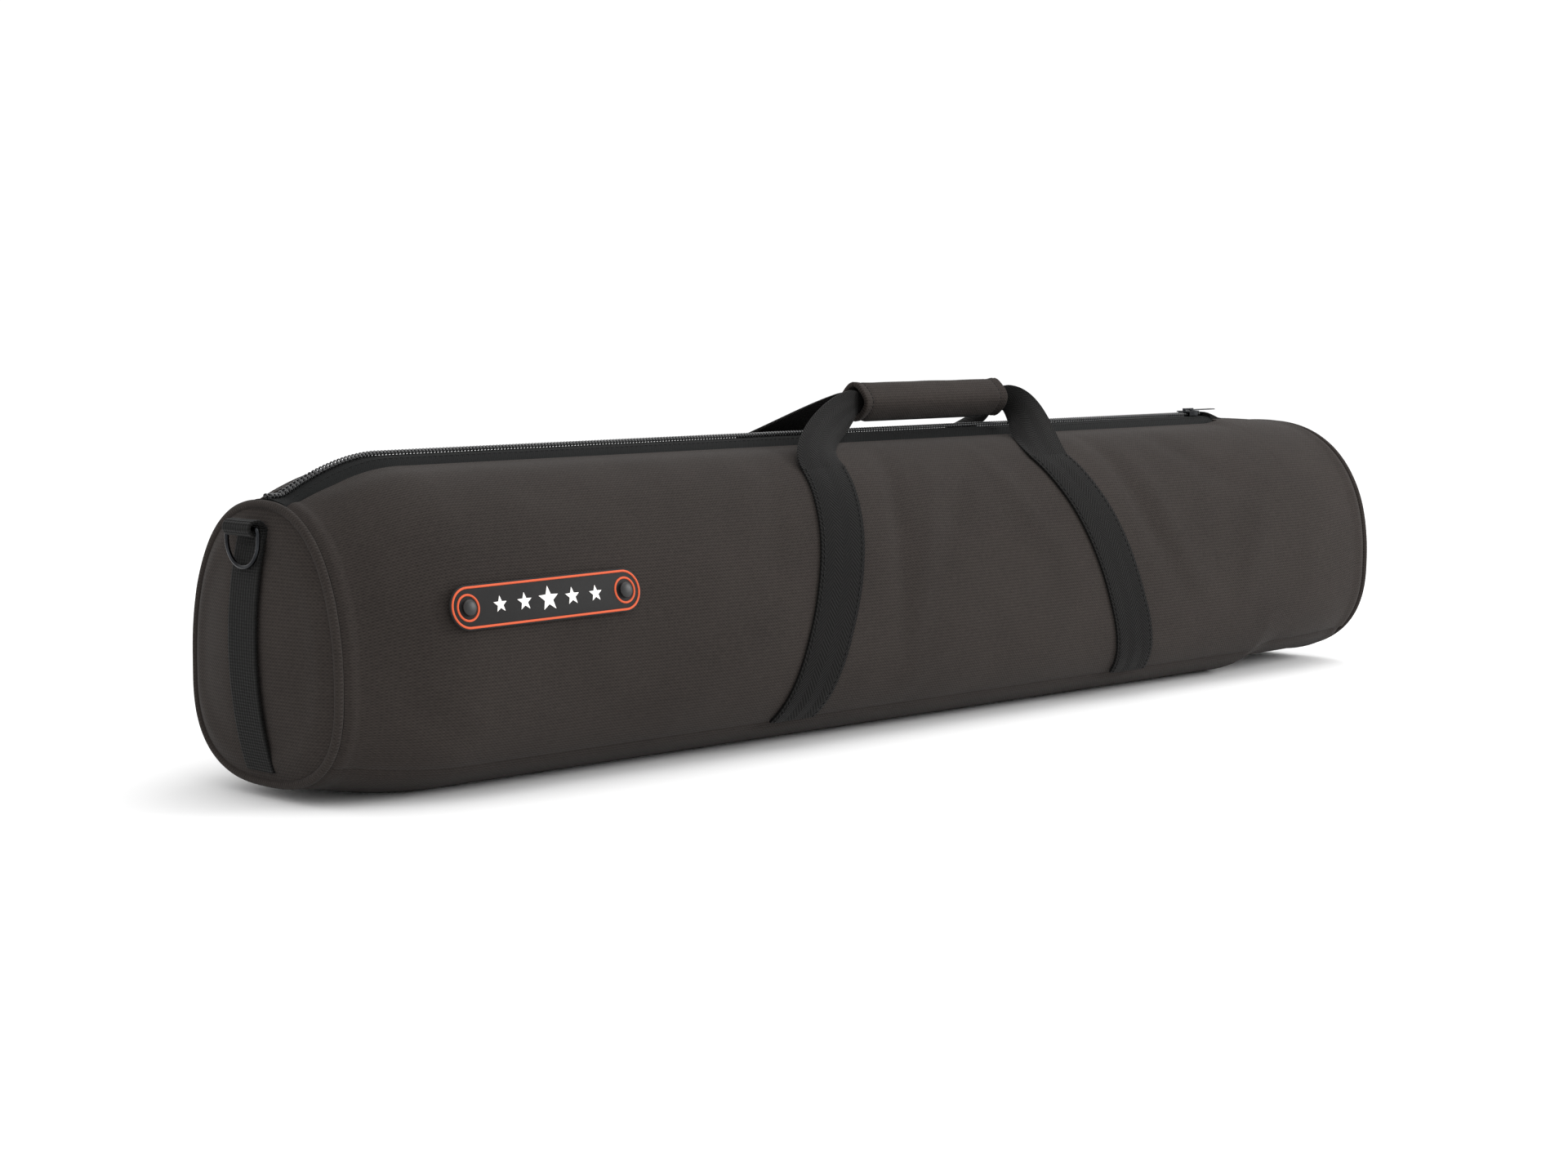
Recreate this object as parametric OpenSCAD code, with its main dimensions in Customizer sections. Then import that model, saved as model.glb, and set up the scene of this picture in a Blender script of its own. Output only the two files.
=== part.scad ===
// Long padded tube case with a flat base, domed ends, a top zip and a wrap handle.
// Millimetres. X runs along the case, -X is the end with the label, -Y is the front, +Z is up.
// The origin is the middle of the base, on the surface that the case stands on.

/* [Body] */
// Length between the two end seams
case_len = 1130; // [1080:2:1300]
// Width at the widest place
body_w = 234; // [224:2:250]
// Height of the fabric body, without the zip
body_h = 226; // [220:1:236]
// Height of the widest place above the ground
widest_z = 88; // [80:1:100]
// Height of the seams between walls and base
base_seam_z = 21; // [16:1:28]

/* [Ends] */
// Width of the near end panel
near_end_w = 174; // [160:2:200]
// Lowest point of the near end panel
near_end_low = 8; // [8:1:20]
// Highest point of the near end panel
near_end_high = 203; // [196:1:212]
// Width of the far end panel
far_end_w = 224; // [200:2:232]
// Lowest point of the far end panel
far_end_low = 6; // [4:1:16]
// Highest point of the far end panel
far_end_high = 221; // [216:1:226]
// How far each end panel bulges out
dome_h = 18; // [8:1:20]
// Thickness of the piping
piping_d = 6.4; // [5:0.2:7]

/* [Layers] */
// Thickness of the outer fabric
skin_t = 1.2; // [0.8:0.1:1.6]
// Thickness of the wall foam
pad_t = 6; // [4:0.5:8]
// Thickness of the lining
lining_t = 0.8; // [0.5:0.1:1.2]
// Thickness of the base board
board_t = 2; // [1.5:0.1:2.1]

/* [Zip] */
// Width of one zip tape that shows beside its fabric edge
tape_show = 15; // [12:1:18]
// Width of one coil row
coil_w = 4.2; // [3.4:0.2:5]
// Height of the coil above its tape
coil_h = 3.4; // [2.8:0.2:3.6]
// Gap between the two coil rows
coil_gap = 1.6; // [1.4:0.1:2]

/* [Handle] */
// Width of the handle webbing
web_w = 46; // [38:1:50]
// Thickness of the handle webbing
web_t = 1.8; // [1.4:0.1:2.2]
// Length of the grip
grip_len = 172; // [140:2:180]
// Outer diameter of the grip
grip_d = 31; // [28:1:32]
// Thickness of the grip's padded wrap
wrap_t = 4.5; // [3:0.5:5]

/* [End fittings] */
// Width of the end straps
strap_w = 32; // [26:1:40]
// Inner width of a D-ring
ring_inner_w = 34; // [34:1:44]
// Wire thickness of a D-ring
ring_wire = 3; // [2.5:0.5:4.5]

/* [Label] */
// Length of the rubber label
label_len = 168; // [120:2:180]
// Height of the rubber label
label_h = 31; // [24:1:34]

/* [Hidden] */

fabric_col = "#3a3634";
web_col = "#2c2d2c";
foam_col = "#55585a";
lining_col = "#222426";
zip_col = "#1d1f20";
steel_col = "#3c3e40";
trim_col = "#c8562e";
white_col = "#eceae6";
board_col = "#1c1c1c";

// Exponents of the rounded outline, above and below its widest place
top_n = 2.3;
low_n = 2.6;
// The base is cut flat this far above the lowest point of its curve
flat_cut = 3;
pad_d = skin_t + pad_t;
lining_d = pad_d + 0.2;
wall_t = lining_d + lining_t;
fit_gap = 0.3;
layer_gap = 0.5;         // between the flats of one layer and the next

near_x = -case_len / 2;
far_x = case_len / 2;
band_w = 12;             // the sewn band between the piping and the crease
seam_step = 1.4;         // from the end plane to the collar's first edge
near_flat_x = near_x + 94;   // the body has its full section from here
near_wall_x = near_x + 126;  // the moving walls start here
far_wall_x = far_x - 149;    // and end here
far_low_x = far_x - 114;      // the underside has stepped up by here
far_flat_x = far_x - 102;     // the top keeps its full section up to here
zip_end_x = far_x - 108;

// A section is [half width, low, widest, high]
mid_section = [body_w / 2, -flat_cut, widest_z, body_h];
near_section = [near_end_w / 2, near_end_low, widest_z - 8, near_end_high];
far_section = [far_end_w / 2, far_end_low, widest_z + 10, far_end_high];

function clamp01(v) = max(0, min(1, v));
function mix(a, b, s) = a + (b - a) * s;
function spow(v, n) = sign(v) * pow(abs(v), n);

// The section of the body at any place along it
function near_ease(x) = 1 - pow(1 - clamp01((x - near_x - band_w) / (near_flat_x - near_x - band_w)), 1.9);
function far_ease(x) = pow(clamp01((x - far_flat_x) / (far_x - band_w - far_flat_x)), 1.6);
function far_low_ease(x) = sin(90 * clamp01((x - far_wall_x) / (far_low_x - far_wall_x)));
function section_at(x) =
    x < 0 ? mix(near_section, mid_section, near_ease(x))
    : let (ends = mix(mid_section, far_section, far_ease(x)))
      [ends[0], mix(mid_section[1], far_end_low, far_low_ease(x)), ends[2], ends[3]];

// A point of the outline: t is 90 at the top, 180 at the front and 270 below; d is the depth under the surface
function outline(s, t, d) =
    let (n = sin(t) >= 0 ? top_n : low_n,
         h = sin(t) >= 0 ? s[3] - s[2] - d : s[2] - s[1] - d)
    [(s[0] - d) * spow(cos(t), 2 / n), max(s[2] + h * spow(sin(t), 2 / n), d)];
function t_at_y(s, y) = acos(-pow(y / s[0], top_n / 2));
function t_at_z(s, z) = 180 + asin(pow((s[2] - z) / (s[2] - s[1]), low_n / 2));
seam_t = t_at_z(mid_section, base_seam_z);
seam_gap_t = 0.25;       // degrees of outline kept open along each base seam

// Height of the outer surface at a distance y from the middle
function surface_z(s, y) = outline(s, t_at_y(s, y), 0)[1];

// Closed band of wall between two outline angles and two depths, as one ring of points at x
function band_ring(x, t0, t1, d0, d1, n) =
    let (s = section_at(x))
    concat([for (i = [0:n]) let (p = outline(s, mix(t0, t1, i / n), d0)) [x, p[0], p[1]]],
           [for (i = [n:-1:0]) let (p = outline(s, mix(t0, t1, i / n), d1)) [x, p[0], p[1]]]);

// Solid through a list of rings with the same number of points, closed by a cap at each end. Both faces of a thin
// wall are cut along the same diagonals: they turn over at point turn_j of each ring, or at ring turn_i. A ring that
// runs out along one face and back along the other is capped by a strip from face to face, and a round one by a disc
module skin_through(rings, turn_j, turn_i) {
    n = len(rings[0]);
    m = len(rings);
    j_turn = is_undef(turn_j) ? n / 2 : turn_j;
    i_turn = is_undef(turn_i) ? m : turn_i;
    sides = [for (i = [0:m - 2]) for (j = [0:n - 1])
             let (a = i * n + j, b = a + n, c = i * n + (j + 1) % n, d = c + n)
             each (j >= j_turn) != (i >= i_turn) ? [[a, b, d], [a, d, c]] : [[a, b, c], [c, b, d]]];
    top = (m - 1) * n;
    caps = is_undef(turn_j)
        ? [for (j = [0:n / 2 - 2]) each [[j, j + 1, n - 2 - j, n - 1 - j],
                                         [top + n - 1 - j, top + n - 2 - j, top + j + 1, top + j]]]
        : [[for (j = [0:n - 1]) j], [for (j = [n - 1:-1:0]) top + j]];
    polyhedron(points = [for (r = rings) each r], faces = concat(sides, caps));
}

// Straight stretch of wall layer, from outline angle t0 to t1
module straight_band(x0, x1, t0, t1, d0, d1, n) {
    ring = band_ring(0, t0, t1, d0, d1, n);
    translate([x0, 0, 0]) rotate([90, 0, 90]) linear_extrude(x1 - x0) polygon([for (p = ring) [p[1], p[2]]]);
}

near_stations = [near_x + seam_step, near_x + band_w, near_x + 24, near_x + 42, near_x + 66, near_flat_x,
                 near_wall_x - fit_gap];
far_stations = [far_wall_x + fit_gap, far_wall_x + 16, far_low_x, far_flat_x, far_flat_x + 36, far_x - band_w,
                far_x - seam_step];

// One side of a collar: from y = edge_y at the top round to the base seam
module collar_side(stations, edge_y, d0, d1) {
    skin_through([for (x = stations) let (s = section_at(x))
                  band_ring(x, t_at_y(s, edge_y), seam_t - seam_gap_t, d0, d1, 16)]);
}

// Past the zip a strip closes the collar's top between its two sides
module collar_top(stations, edge_y, d0, d1) {
    skin_through([for (x = stations) let (s = section_at(x), t = t_at_y(s, edge_y - fit_gap))
                  band_ring(x, 180 - t, t, d0, d1, 6)]);
}

module both_sides() {
    children();
    mirror([0, 1, 0]) children();
}

/* ---- zip cross-sections, front half, at any place along the zip ---- */
skin_edge_y = tape_show + 1;
tape_hidden = 8;
tape_t = 1.1;
pad_edge_y = skin_edge_y + tape_hidden + 0.8;
tent_h = 2.6;            // the tapes rise this far above the fabric in the middle
tuck = skin_t + 0.5;
function tape_low(s, y) = surface_z(s, y) - tuck - tape_t;
function tape_ring(x) =
    let (s = section_at(x), far_y = skin_edge_y + tape_hidden, rise_y = skin_edge_y - 1.5,
         inner = s[3] + tent_h - tape_t)
    [[x, -far_y, tape_low(s, far_y)], [x, -rise_y, tape_low(s, rise_y)],
     [x, -coil_w - coil_gap, inner - 0.3], [x, -coil_gap / 2, inner],
     [x, -coil_gap / 2, inner + tape_t], [x, -coil_w - coil_gap, inner + tape_t - 0.3],
     [x, -rise_y, tape_low(s, rise_y) + tape_t], [x, -far_y, tape_low(s, far_y) + tape_t]];
function coil_ring(x) =
    let (s = section_at(x), z = s[3] + tent_h + 0.05, y0 = -coil_gap / 2, y1 = y0 - coil_w)
    [[x, y0, z], [x, y0, z + coil_h * 0.7], [x, y0 - 0.8, z + coil_h], [x, y1 + 1.2, z + coil_h],
     [x, y1, z + coil_h * 0.6], [x, y1, z]];
coil_top_z = body_h + tent_h + 0.05 + coil_h;

module straight_profile(x0, x1, ring) {
    translate([x0, 0, 0]) rotate([90, 0, 90]) linear_extrude(x1 - x0) polygon([for (p = ring) [p[1], p[2]]]);
}
zip_near_stations = [near_x + seam_step + 0.6, near_x + band_w, near_x + 24, near_x + 42, near_x + 66,
                     near_flat_x, near_wall_x - fit_gap];

/* ---- ends ---- */
piping_r = piping_d / 2;
panel_inset = piping_d + 0.4;
ring_points = 48;
function end_ring(x, s, scale, d) =
    let (zc = (s[1] + s[3]) / 2)
    [for (i = [0:ring_points - 1]) let (p = outline(s, 360 * i / ring_points, d))
     [x, p[0] * scale, zc + (p[1] - zc) * scale]];
// Bulge of an end panel at a fraction k of the way from its middle to its rim
function bulge(k) = dome_h * pow(max(0, 1 - k * k), 0.85);
dome_steps = [0.12, 0.4, 0.65, 0.82, 0.93, 1];

// One layer of an end, between two depths behind the domed face; side is -1 at the near end
module end_layer(side, s, x_end, inset, d0, d1) {
    outer = [for (k = dome_steps) end_ring(x_end + side * (bulge(k * (1 - inset / s[0])) - d0), s, k, inset)];
    inner = [for (i = [len(dome_steps) - 1:-1:0]) let (k = dome_steps[i])
             end_ring(x_end + side * (bulge(k * (1 - inset / s[0])) - d1), s, k, inset)];
    rings = concat(outer, inner);
    skin_through(side < 0 ? rings : [for (r = rings) [for (j = [len(r) - 1:-1:0]) r[j]]],
                 ring_points, len(dome_steps));
}

module end_panel(side, s, x_end) { color(fabric_col) end_layer(side, s, x_end, panel_inset, 0, skin_t); }
module end_padding(side, s, x_end) {
    color(foam_col) end_layer(side, s, x_end, wall_t + 0.4, skin_t + 0.3, pad_d);
}
module end_lining(side, s, x_end) {
    color(lining_col) end_layer(side, s, x_end, wall_t + 0.4, lining_d, wall_t);
}

// Piping cord: a closed tube round the rim
module piping(side, s, x_end) {
    sides = 10;
    n = ring_points;
    x_c = x_end + side * (piping_r - seam_step + 0.2);
    pts = [for (i = [0:n - 1]) let (t = 360 * i / n)
           for (j = [0:sides - 1]) let (a = 360 * j / sides,
               p = outline(s, t, piping_r + 0.1 - piping_r * cos(a)))
           [x_c + piping_r * sin(a), p[0], p[1]]];
    faces = [for (i = [0:n - 1]) for (j = [0:sides - 1])
             let (i2 = (i + 1) % n, j2 = (j + 1) % sides)
             each [[i * sides + j, i * sides + j2, i2 * sides + j],
                   [i * sides + j2, i2 * sides + j2, i2 * sides + j]]];
    color(fabric_col) polyhedron(points = pts, faces = faces);
}

// The end strap climbs the middle of the panel and rolls round the D-ring's bar
strap_t = 1.8;
strap_lift = 0.9;
roll_r = ring_wire / 2 + 1.1;
roll_t = 1.9;
bar_drop = 18;           // below the top of the end
ring_clear = 1;          // between the hanging ring and the strap
function bar_z(s) = s[3] - bar_drop;
function face_k(s, z) = abs(z - (s[1] + s[3]) / 2) / ((s[3] - s[1]) / 2);
function face_x(s, z) = bulge(min(face_k(s, z), 0.995));
// The bar sits far enough out for the hanging bow to clear the strap
function bar_out(s) = face_x(s, bar_z(s) - 26) + strap_lift + strap_t + ring_wire / 2 + ring_clear;

module end_strap(side, s, x_end) {
    low_z = s[1] + panel_inset + 5;
    top_z = bar_z(s);
    steps = 14;
    inner = [for (i = [0:steps]) let (z = mix(low_z, top_z, i / steps)) [face_x(s, z) + strap_lift, z]];
    outer = [for (i = [steps:-1:0]) let (z = mix(low_z, top_z, i / steps)) [face_x(s, z) + strap_lift + strap_t, z]];
    join_x = face_x(s, top_z) + strap_lift;
    color(web_col) translate([x_end, strap_w / 2, 0]) mirror([side < 0 ? 1 : 0, 0, 0])
    rotate([90, 0, 0]) linear_extrude(strap_w) difference() {
        union() {
            polygon(concat(inner, outer));
            translate([bar_out(s), top_z]) circle(r = roll_r + roll_t, $fn = 48);
            translate([join_x, top_z - roll_t]) square([bar_out(s) - join_x, roll_t * 2]);
        }
        translate([bar_out(s), top_z]) circle(r = roll_r, $fn = 48);
    }
}

// D-ring: a bar inside the roll, two short legs and a round bow below
ring_bow_r = ring_inner_w / 2 + ring_wire / 2;
ring_leg = 8;
module d_ring(side, s, x_end) {
    r = ring_wire / 2;
    color(steel_col) translate([x_end + side * bar_out(s), 0, bar_z(s)]) {
        rotate([90, 0, 0]) cylinder(r = r, h = ring_bow_r * 2, center = true, $fn = 24);
        for (y = [-ring_bow_r, ring_bow_r]) translate([0, y, 0]) {
            sphere(r = r, $fn = 24);
            translate([0, 0, -ring_leg]) cylinder(r = r, h = ring_leg, $fn = 24);
        }
        translate([0, 0, -ring_leg]) rotate([0, 90, 0]) rotate([0, 0, -90])
        rotate_extrude(angle = 180, $fn = 48) translate([ring_bow_r, 0]) circle(r = r, $fn = 24);
    }
}

module near_end_panel() { end_panel(-1, near_section, near_x); }
module near_end_padding() { end_padding(-1, near_section, near_x); }
module near_end_lining() { end_lining(-1, near_section, near_x); }
module near_piping() { piping(-1, near_section, near_x); }
module near_end_strap() { end_strap(-1, near_section, near_x); }
module near_d_ring() { d_ring(-1, near_section, near_x); }
module far_end_panel() { end_panel(1, far_section, far_x); }
module far_end_padding() { end_padding(1, far_section, far_x); }
module far_end_lining() { end_lining(1, far_section, far_x); }
module far_piping() { piping(1, far_section, far_x); }
module far_end_strap() { end_strap(1, far_section, far_x); }
module far_d_ring() { d_ring(1, far_section, far_x); }

/* ---- collars: the parts of the body that stay put beyond the mouth ---- */
module near_collar_fabric() { color(fabric_col) both_sides() collar_side(near_stations, skin_edge_y, 0, skin_t); }
module near_collar_padding() {
    color(foam_col) both_sides() collar_side(near_stations, pad_edge_y, skin_t + layer_gap, pad_d);
}
module near_collar_lining() {
    color(lining_col) both_sides() collar_side(near_stations, pad_edge_y, lining_d, lining_d + lining_t);
}

far_top_stations = concat([zip_end_x + 2], [for (x = far_stations) if (x > far_flat_x) x]);
module far_collar_layer(edge_y, d0, d1) {
    both_sides() collar_side(far_stations, edge_y, d0, d1);
    collar_top(far_top_stations, edge_y, d0, d1);
}
module far_collar_fabric() { color(fabric_col) far_collar_layer(skin_edge_y, 0, skin_t); }
module far_collar_padding() { color(foam_col) far_collar_layer(pad_edge_y, skin_t + layer_gap, pad_d); }
module far_collar_lining() { color(lining_col) far_collar_layer(pad_edge_y, lining_d, wall_t); }

/* ---- base ---- */
base_stations = concat([for (x = near_stations) x], [for (x = far_stations) x]);
board_low = skin_t + 3.7;
module base_layer(d0, d1) {
    skin_through([for (x = base_stations) band_ring(x, seam_t, 540 - seam_t, d0, d1, 15)]);
}
module base_panel() { color(fabric_col) base_layer(0, skin_t); }
module base_padding() { color(foam_col) base_layer(skin_t + layer_gap, board_low - 0.1); }
module base_lining() { color(lining_col) base_layer(lining_d, wall_t); }
module base_board() {
    board_x0 = near_flat_x;
    board_x1 = far_wall_x - 20;
    board_w = 84;
    color(board_col) translate([board_x0, -board_w / 2, board_low]) cube([board_x1 - board_x0, board_w, board_t]);
}

/* ---- moving walls ---- */
module wall_fabric() {
    s = mid_section;
    straight_band(near_wall_x, far_wall_x, t_at_y(s, skin_edge_y), seam_t - seam_gap_t, 0, skin_t, 28);
}
module wall_padding() {
    s = mid_section;
    straight_band(near_wall_x, far_wall_x, t_at_y(s, pad_edge_y), seam_t - seam_gap_t, skin_t + layer_gap, pad_d, 28);
}
module wall_lining() {
    s = mid_section;
    straight_band(near_wall_x, far_wall_x, t_at_y(s, pad_edge_y), seam_t - seam_gap_t, lining_d, wall_t, 28);
}
module wall_tape() { straight_profile(near_wall_x, far_wall_x, tape_ring(0)); }
module wall_coil() { straight_profile(near_wall_x, far_wall_x, coil_ring(0)); }

module front_wall_fabric() { color(fabric_col) wall_fabric(); }
module front_wall_padding() { color(foam_col) wall_padding(); }
module front_wall_lining() { color(lining_col) wall_lining(); }
module front_zip_tape() { color(zip_col) wall_tape(); }
module front_zip_coil() { color(zip_col) wall_coil(); }
module rear_wall_fabric() { color(fabric_col) mirror([0, 1, 0]) wall_fabric(); }
module rear_wall_padding() { color(foam_col) mirror([0, 1, 0]) wall_padding(); }
module rear_wall_lining() { color(lining_col) mirror([0, 1, 0]) wall_lining(); }
module rear_zip_tape() { color(zip_col) mirror([0, 1, 0]) wall_tape(); }
module rear_zip_coil() { color(zip_col) mirror([0, 1, 0]) wall_coil(); }

module near_zip_tapes() { color(zip_col) both_sides() skin_through([for (x = zip_near_stations) tape_ring(x)]); }
module near_zip_coils() { color(zip_col) both_sides() skin_through([for (x = zip_near_stations) coil_ring(x)]); }
module far_zip_tapes() {
    color(zip_col) both_sides() straight_profile(far_wall_x + fit_gap, zip_end_x, tape_ring(0));
}
module far_zip_coils() {
    color(zip_col) both_sides() straight_profile(far_wall_x + fit_gap, zip_end_x - 3, coil_ring(0));
}
// Folded fabric tab sewn over the end of the zip
module zip_end_tab() {
    tab_w = 26;
    tab_len = 16;
    z0 = body_h + 0.2;
    profile = [[0, z0], [tab_len, z0], [tab_len, z0 + 0.9], [4, z0 + 5.2], [0, z0 + 5.2]];
    color(web_col) translate([zip_end_x + 0.4, tab_w / 2, 0]) rotate([90, 0, 0]) linear_extrude(tab_w) polygon(profile);
}
// A small stop across both coil rows at each end of the zip
module zip_stops() {
    stop_w = 2 * coil_w + coil_gap;
    color(steel_col) translate([zip_end_x - 2.6, -stop_w / 2, body_h + tent_h + 0.1]) cube([2.2, stop_w, coil_h - 0.6]);
}

/* ---- handle legs: webbing sewn up each wall ---- */
leg_top_z = 205;
near_leg_x = -case_len * 0.1192;   // at mid height
far_leg_x = case_len * 0.174;
near_leg_slope = 0.32;
far_leg_slope = -0.42;
leg_mid_z = 116;
leg_lift = 0.35;
top_leg_t = 180 - asin(pow((leg_top_z - widest_z) / (body_h - widest_z), top_n / 2));
low_leg_t = seam_t - 2;
function leg_x(x_mid, slope, z) = x_mid + slope * (z - leg_mid_z);
function leg_ring(x_mid, slope, t) =
    let (p = outline(mid_section, t, -leg_lift), q = outline(mid_section, t, -leg_lift - web_t),
         x = leg_x(x_mid, slope, p[1]))
    [[x - web_w / 2, p[0], p[1]], [x + web_w / 2, p[0], p[1]],
     [x + web_w / 2, q[0], q[1]], [x - web_w / 2, q[0], q[1]]];
module leg(x_mid, slope) {
    color(web_col) skin_through([for (i = [0:18]) leg_ring(x_mid, slope, mix(top_leg_t, low_leg_t, i / 18))]);
}
module front_near_leg() { leg(near_leg_x, near_leg_slope); }
module front_far_leg() { leg(far_leg_x, far_leg_slope); }
module rear_near_leg() { mirror([0, 1, 0]) leg(near_leg_x, near_leg_slope); }
module rear_far_leg() { mirror([0, 1, 0]) leg(far_leg_x, far_leg_slope); }

/* ---- handle loops and grip ---- */
grip_x0 = 0;
grip_x1 = grip_x0 + grip_len;
grip_z = 253;
grip_r = grip_d / 2;
grip_in = grip_r - wrap_t;
grip_web_y = -4.4;
grip_web_w = 17;
function bez(a, b, c, d, u) =
    pow(1 - u, 3) * a + 3 * pow(1 - u, 2) * u * b + 3 * (1 - u) * u * u * c + pow(u, 3) * d;
function unit(v) = v / norm(v);
// A flat strip's ring: centre c, half-width direction w, thickness direction n
function strip_ring(c, w, n, half) =
    [c + w * half + n * web_t / 2, c - w * half + n * web_t / 2,
     c - w * half - n * web_t / 2, c + w * half - n * web_t / 2];
leg_top = outline(mid_section, top_leg_t, -leg_lift - web_t / 2);
// How a free web leaves its leg, how it comes into the grip, and how late it turns on edge
front_sweep = [[4, 19, 25], [27, -11, -2], 1.5];
rear_sweep = [[-30, 27, 19], [25, -8, -13], 2.2];
// Free stretch from a leg's top to the grip; out is -1 for the near stretch and 1 for the far one
function free_rings(x_leg, x_grip, out, sweep, steps) =
    let (p0 = [x_leg, leg_top[0] + 0.9, leg_top[1] + 1.9],
         p1 = p0 + [out * sweep[0][0], sweep[0][1], sweep[0][2]],
         p3 = [x_grip, grip_web_y, grip_z],
         p2 = p3 + [out * sweep[1][0], sweep[1][1], sweep[1][2]])
    [for (i = [0:steps]) let (u = i / steps, turn = 90 * pow(u, sweep[2]),
         c = bez(p0, p1, p2, p3, u),
         w = unit([out * cos(turn), -0.1 * (1 - u), sin(turn)]),
         tangent = unit(bez(p0, p1, p2, p3, min(1, u + 0.02)) - bez(p0, p1, p2, p3, max(0, u - 0.02))),
         n = out * unit(cross(tangent, w)))
     strip_ring(c, w, n, mix(web_w, grip_web_w, pow(u, 2)) / 2)];
module loop(sweep) {
    near = free_rings(leg_x(near_leg_x, near_leg_slope, leg_top_z), grip_x0, -1, sweep, 12);
    far = free_rings(leg_x(far_leg_x, far_leg_slope, leg_top_z), grip_x1, 1, sweep, 12);
    far_back = [for (i = [len(far) - 1:-1:0]) far[i]];
    color(web_col) skin_through([for (r = concat(near, far_back)) [for (j = [3:-1:0]) r[j]]]);
}
module front_loop() { loop(front_sweep); }
module rear_loop() { mirror([0, 1, 0]) loop(rear_sweep); }

module half_tube(r0, r1, len, front) {
    big = r1 + 5;
    rotate([90, 0, 90]) linear_extrude(len) difference() {
        circle(r = r1, $fn = 72);
        circle(r = r0, $fn = 72);
        translate([front ? -0.2 : -big, -big]) square([big, big * 2]);
    }
}
module grip_wrap() {
    color(fabric_col) translate([grip_x0, 0, grip_z]) half_tube(grip_in, grip_r, grip_len, false);
}
module grip_flap() {
    color(fabric_col) translate([grip_x0, 0, grip_z]) half_tube(grip_in, grip_r, grip_len, true);
}
// Thin strips of hook and loop that hold the flap down
strip_t = 0.8;
strip_len = grip_len - 30;
module arc_strip(r0, r1, y0, y1) {
    translate([grip_x0 + 15, 0, grip_z]) rotate([90, 0, 90]) linear_extrude(strip_len) intersection() {
        difference() {
            circle(r = r1, $fn = 72);
            circle(r = r0, $fn = 72);
        }
        translate([y0, -r1 - 1]) square([y1 - y0, r1]);
    }
}
module grip_hook_strip() { color(zip_col) arc_strip(grip_in - strip_t, grip_in, -9, -1); }
module grip_loop_strip() { color(lining_col) arc_strip(grip_r, grip_r + strip_t, 1, 9); }

/* ---- zip slider and pull ---- */
slider_x = zip_end_x - 16;
slider_len = 20;
slider_w = 14.4;
plate_z = coil_top_z + 0.3;
plate_t = 1;
bridge_gap = 1.4;
bridge_t = 0.9;
bridge_w = 3;
pull_z = plate_z + plate_t + bridge_gap / 2;
pull_t = 0.8;
module rounded_plate(len, w, t, r) {
    for (x = [-len / 2 + r, len / 2 - r]) for (y = [-w / 2 + r, w / 2 - r])
        translate([x, y, 0]) cylinder(r = r, h = t, $fn = 32);
    translate([-len / 2 + r, -w / 2, 0]) cube([len - 2 * r, w, t]);
    translate([-len / 2, -w / 2 + r, 0]) cube([len, w - 2 * r, t]);
}
module zip_slider() {
    flange_y = coil_gap / 2 + coil_w + 0.4;
    flange_z = body_h + tent_h + 0.5;
    post_w = 0.9;
    under_z = body_h + tent_h - tape_t - 2.1;
    color(steel_col) translate([slider_x, 0, 0]) {
        translate([0, 0, plate_z]) rounded_plate(slider_len, slider_w, plate_t, 4);
        for (y = [-1, 1]) translate([-6, y > 0 ? flange_y : -flange_y - 1.2, flange_z])
            cube([12, 1.2, plate_z - flange_z + 0.2]);
        translate([-5, -post_w / 2, under_z]) cube([4, post_w, plate_z - under_z + 0.2]);
        translate([0, 0, under_z - 1]) rounded_plate(slider_len - 2, 11, 1.2, 3);
        for (x = [-6.2, 4.8]) translate([x, -bridge_w / 2, plate_z + plate_t - 0.2])
            cube([1.4, bridge_w, bridge_gap + bridge_t + 0.2]);
        translate([-6.2, -bridge_w / 2, plate_z + plate_t + bridge_gap]) cube([12.4, bridge_w, bridge_t]);
    }
}
module zip_pull() {
    arm_y = bridge_w / 2 + 0.9;
    arm_w = 1.6;
    eye_len = 10;
    tab_len = 28;
    tab_w = 9;
    color(steel_col) translate([slider_x, 0, pull_z]) {
        rotate([90, 0, 0]) cylinder(r = pull_t / 2, h = 2 * (arm_y + arm_w), center = true, $fn = 24);
        for (y = [arm_y, -arm_y - arm_w]) translate([0, y, -pull_t / 2]) cube([eye_len, arm_w, pull_t]);
        translate([eye_len - 1.5 + tab_len / 2, 0, -pull_t / 2]) difference() {
            rounded_plate(tab_len, tab_w, pull_t, 3);
            translate([tab_len / 2 - 5, 0, -1]) cylinder(r = 2.2, h = 3, $fn = 32);
        }
    }
}

/* ---- label ---- */
label_x = near_x + 149.5;
label_z = 133;
label_t = 1.6;
label_tilt = 0.8;
rivet_pitch = 138;
label_t_angle = 180 - asin(pow((label_z - widest_z) / (body_h - widest_z), top_n / 2));
label_point = outline(mid_section, label_t_angle, -0.9);
label_lean = 12;
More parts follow.
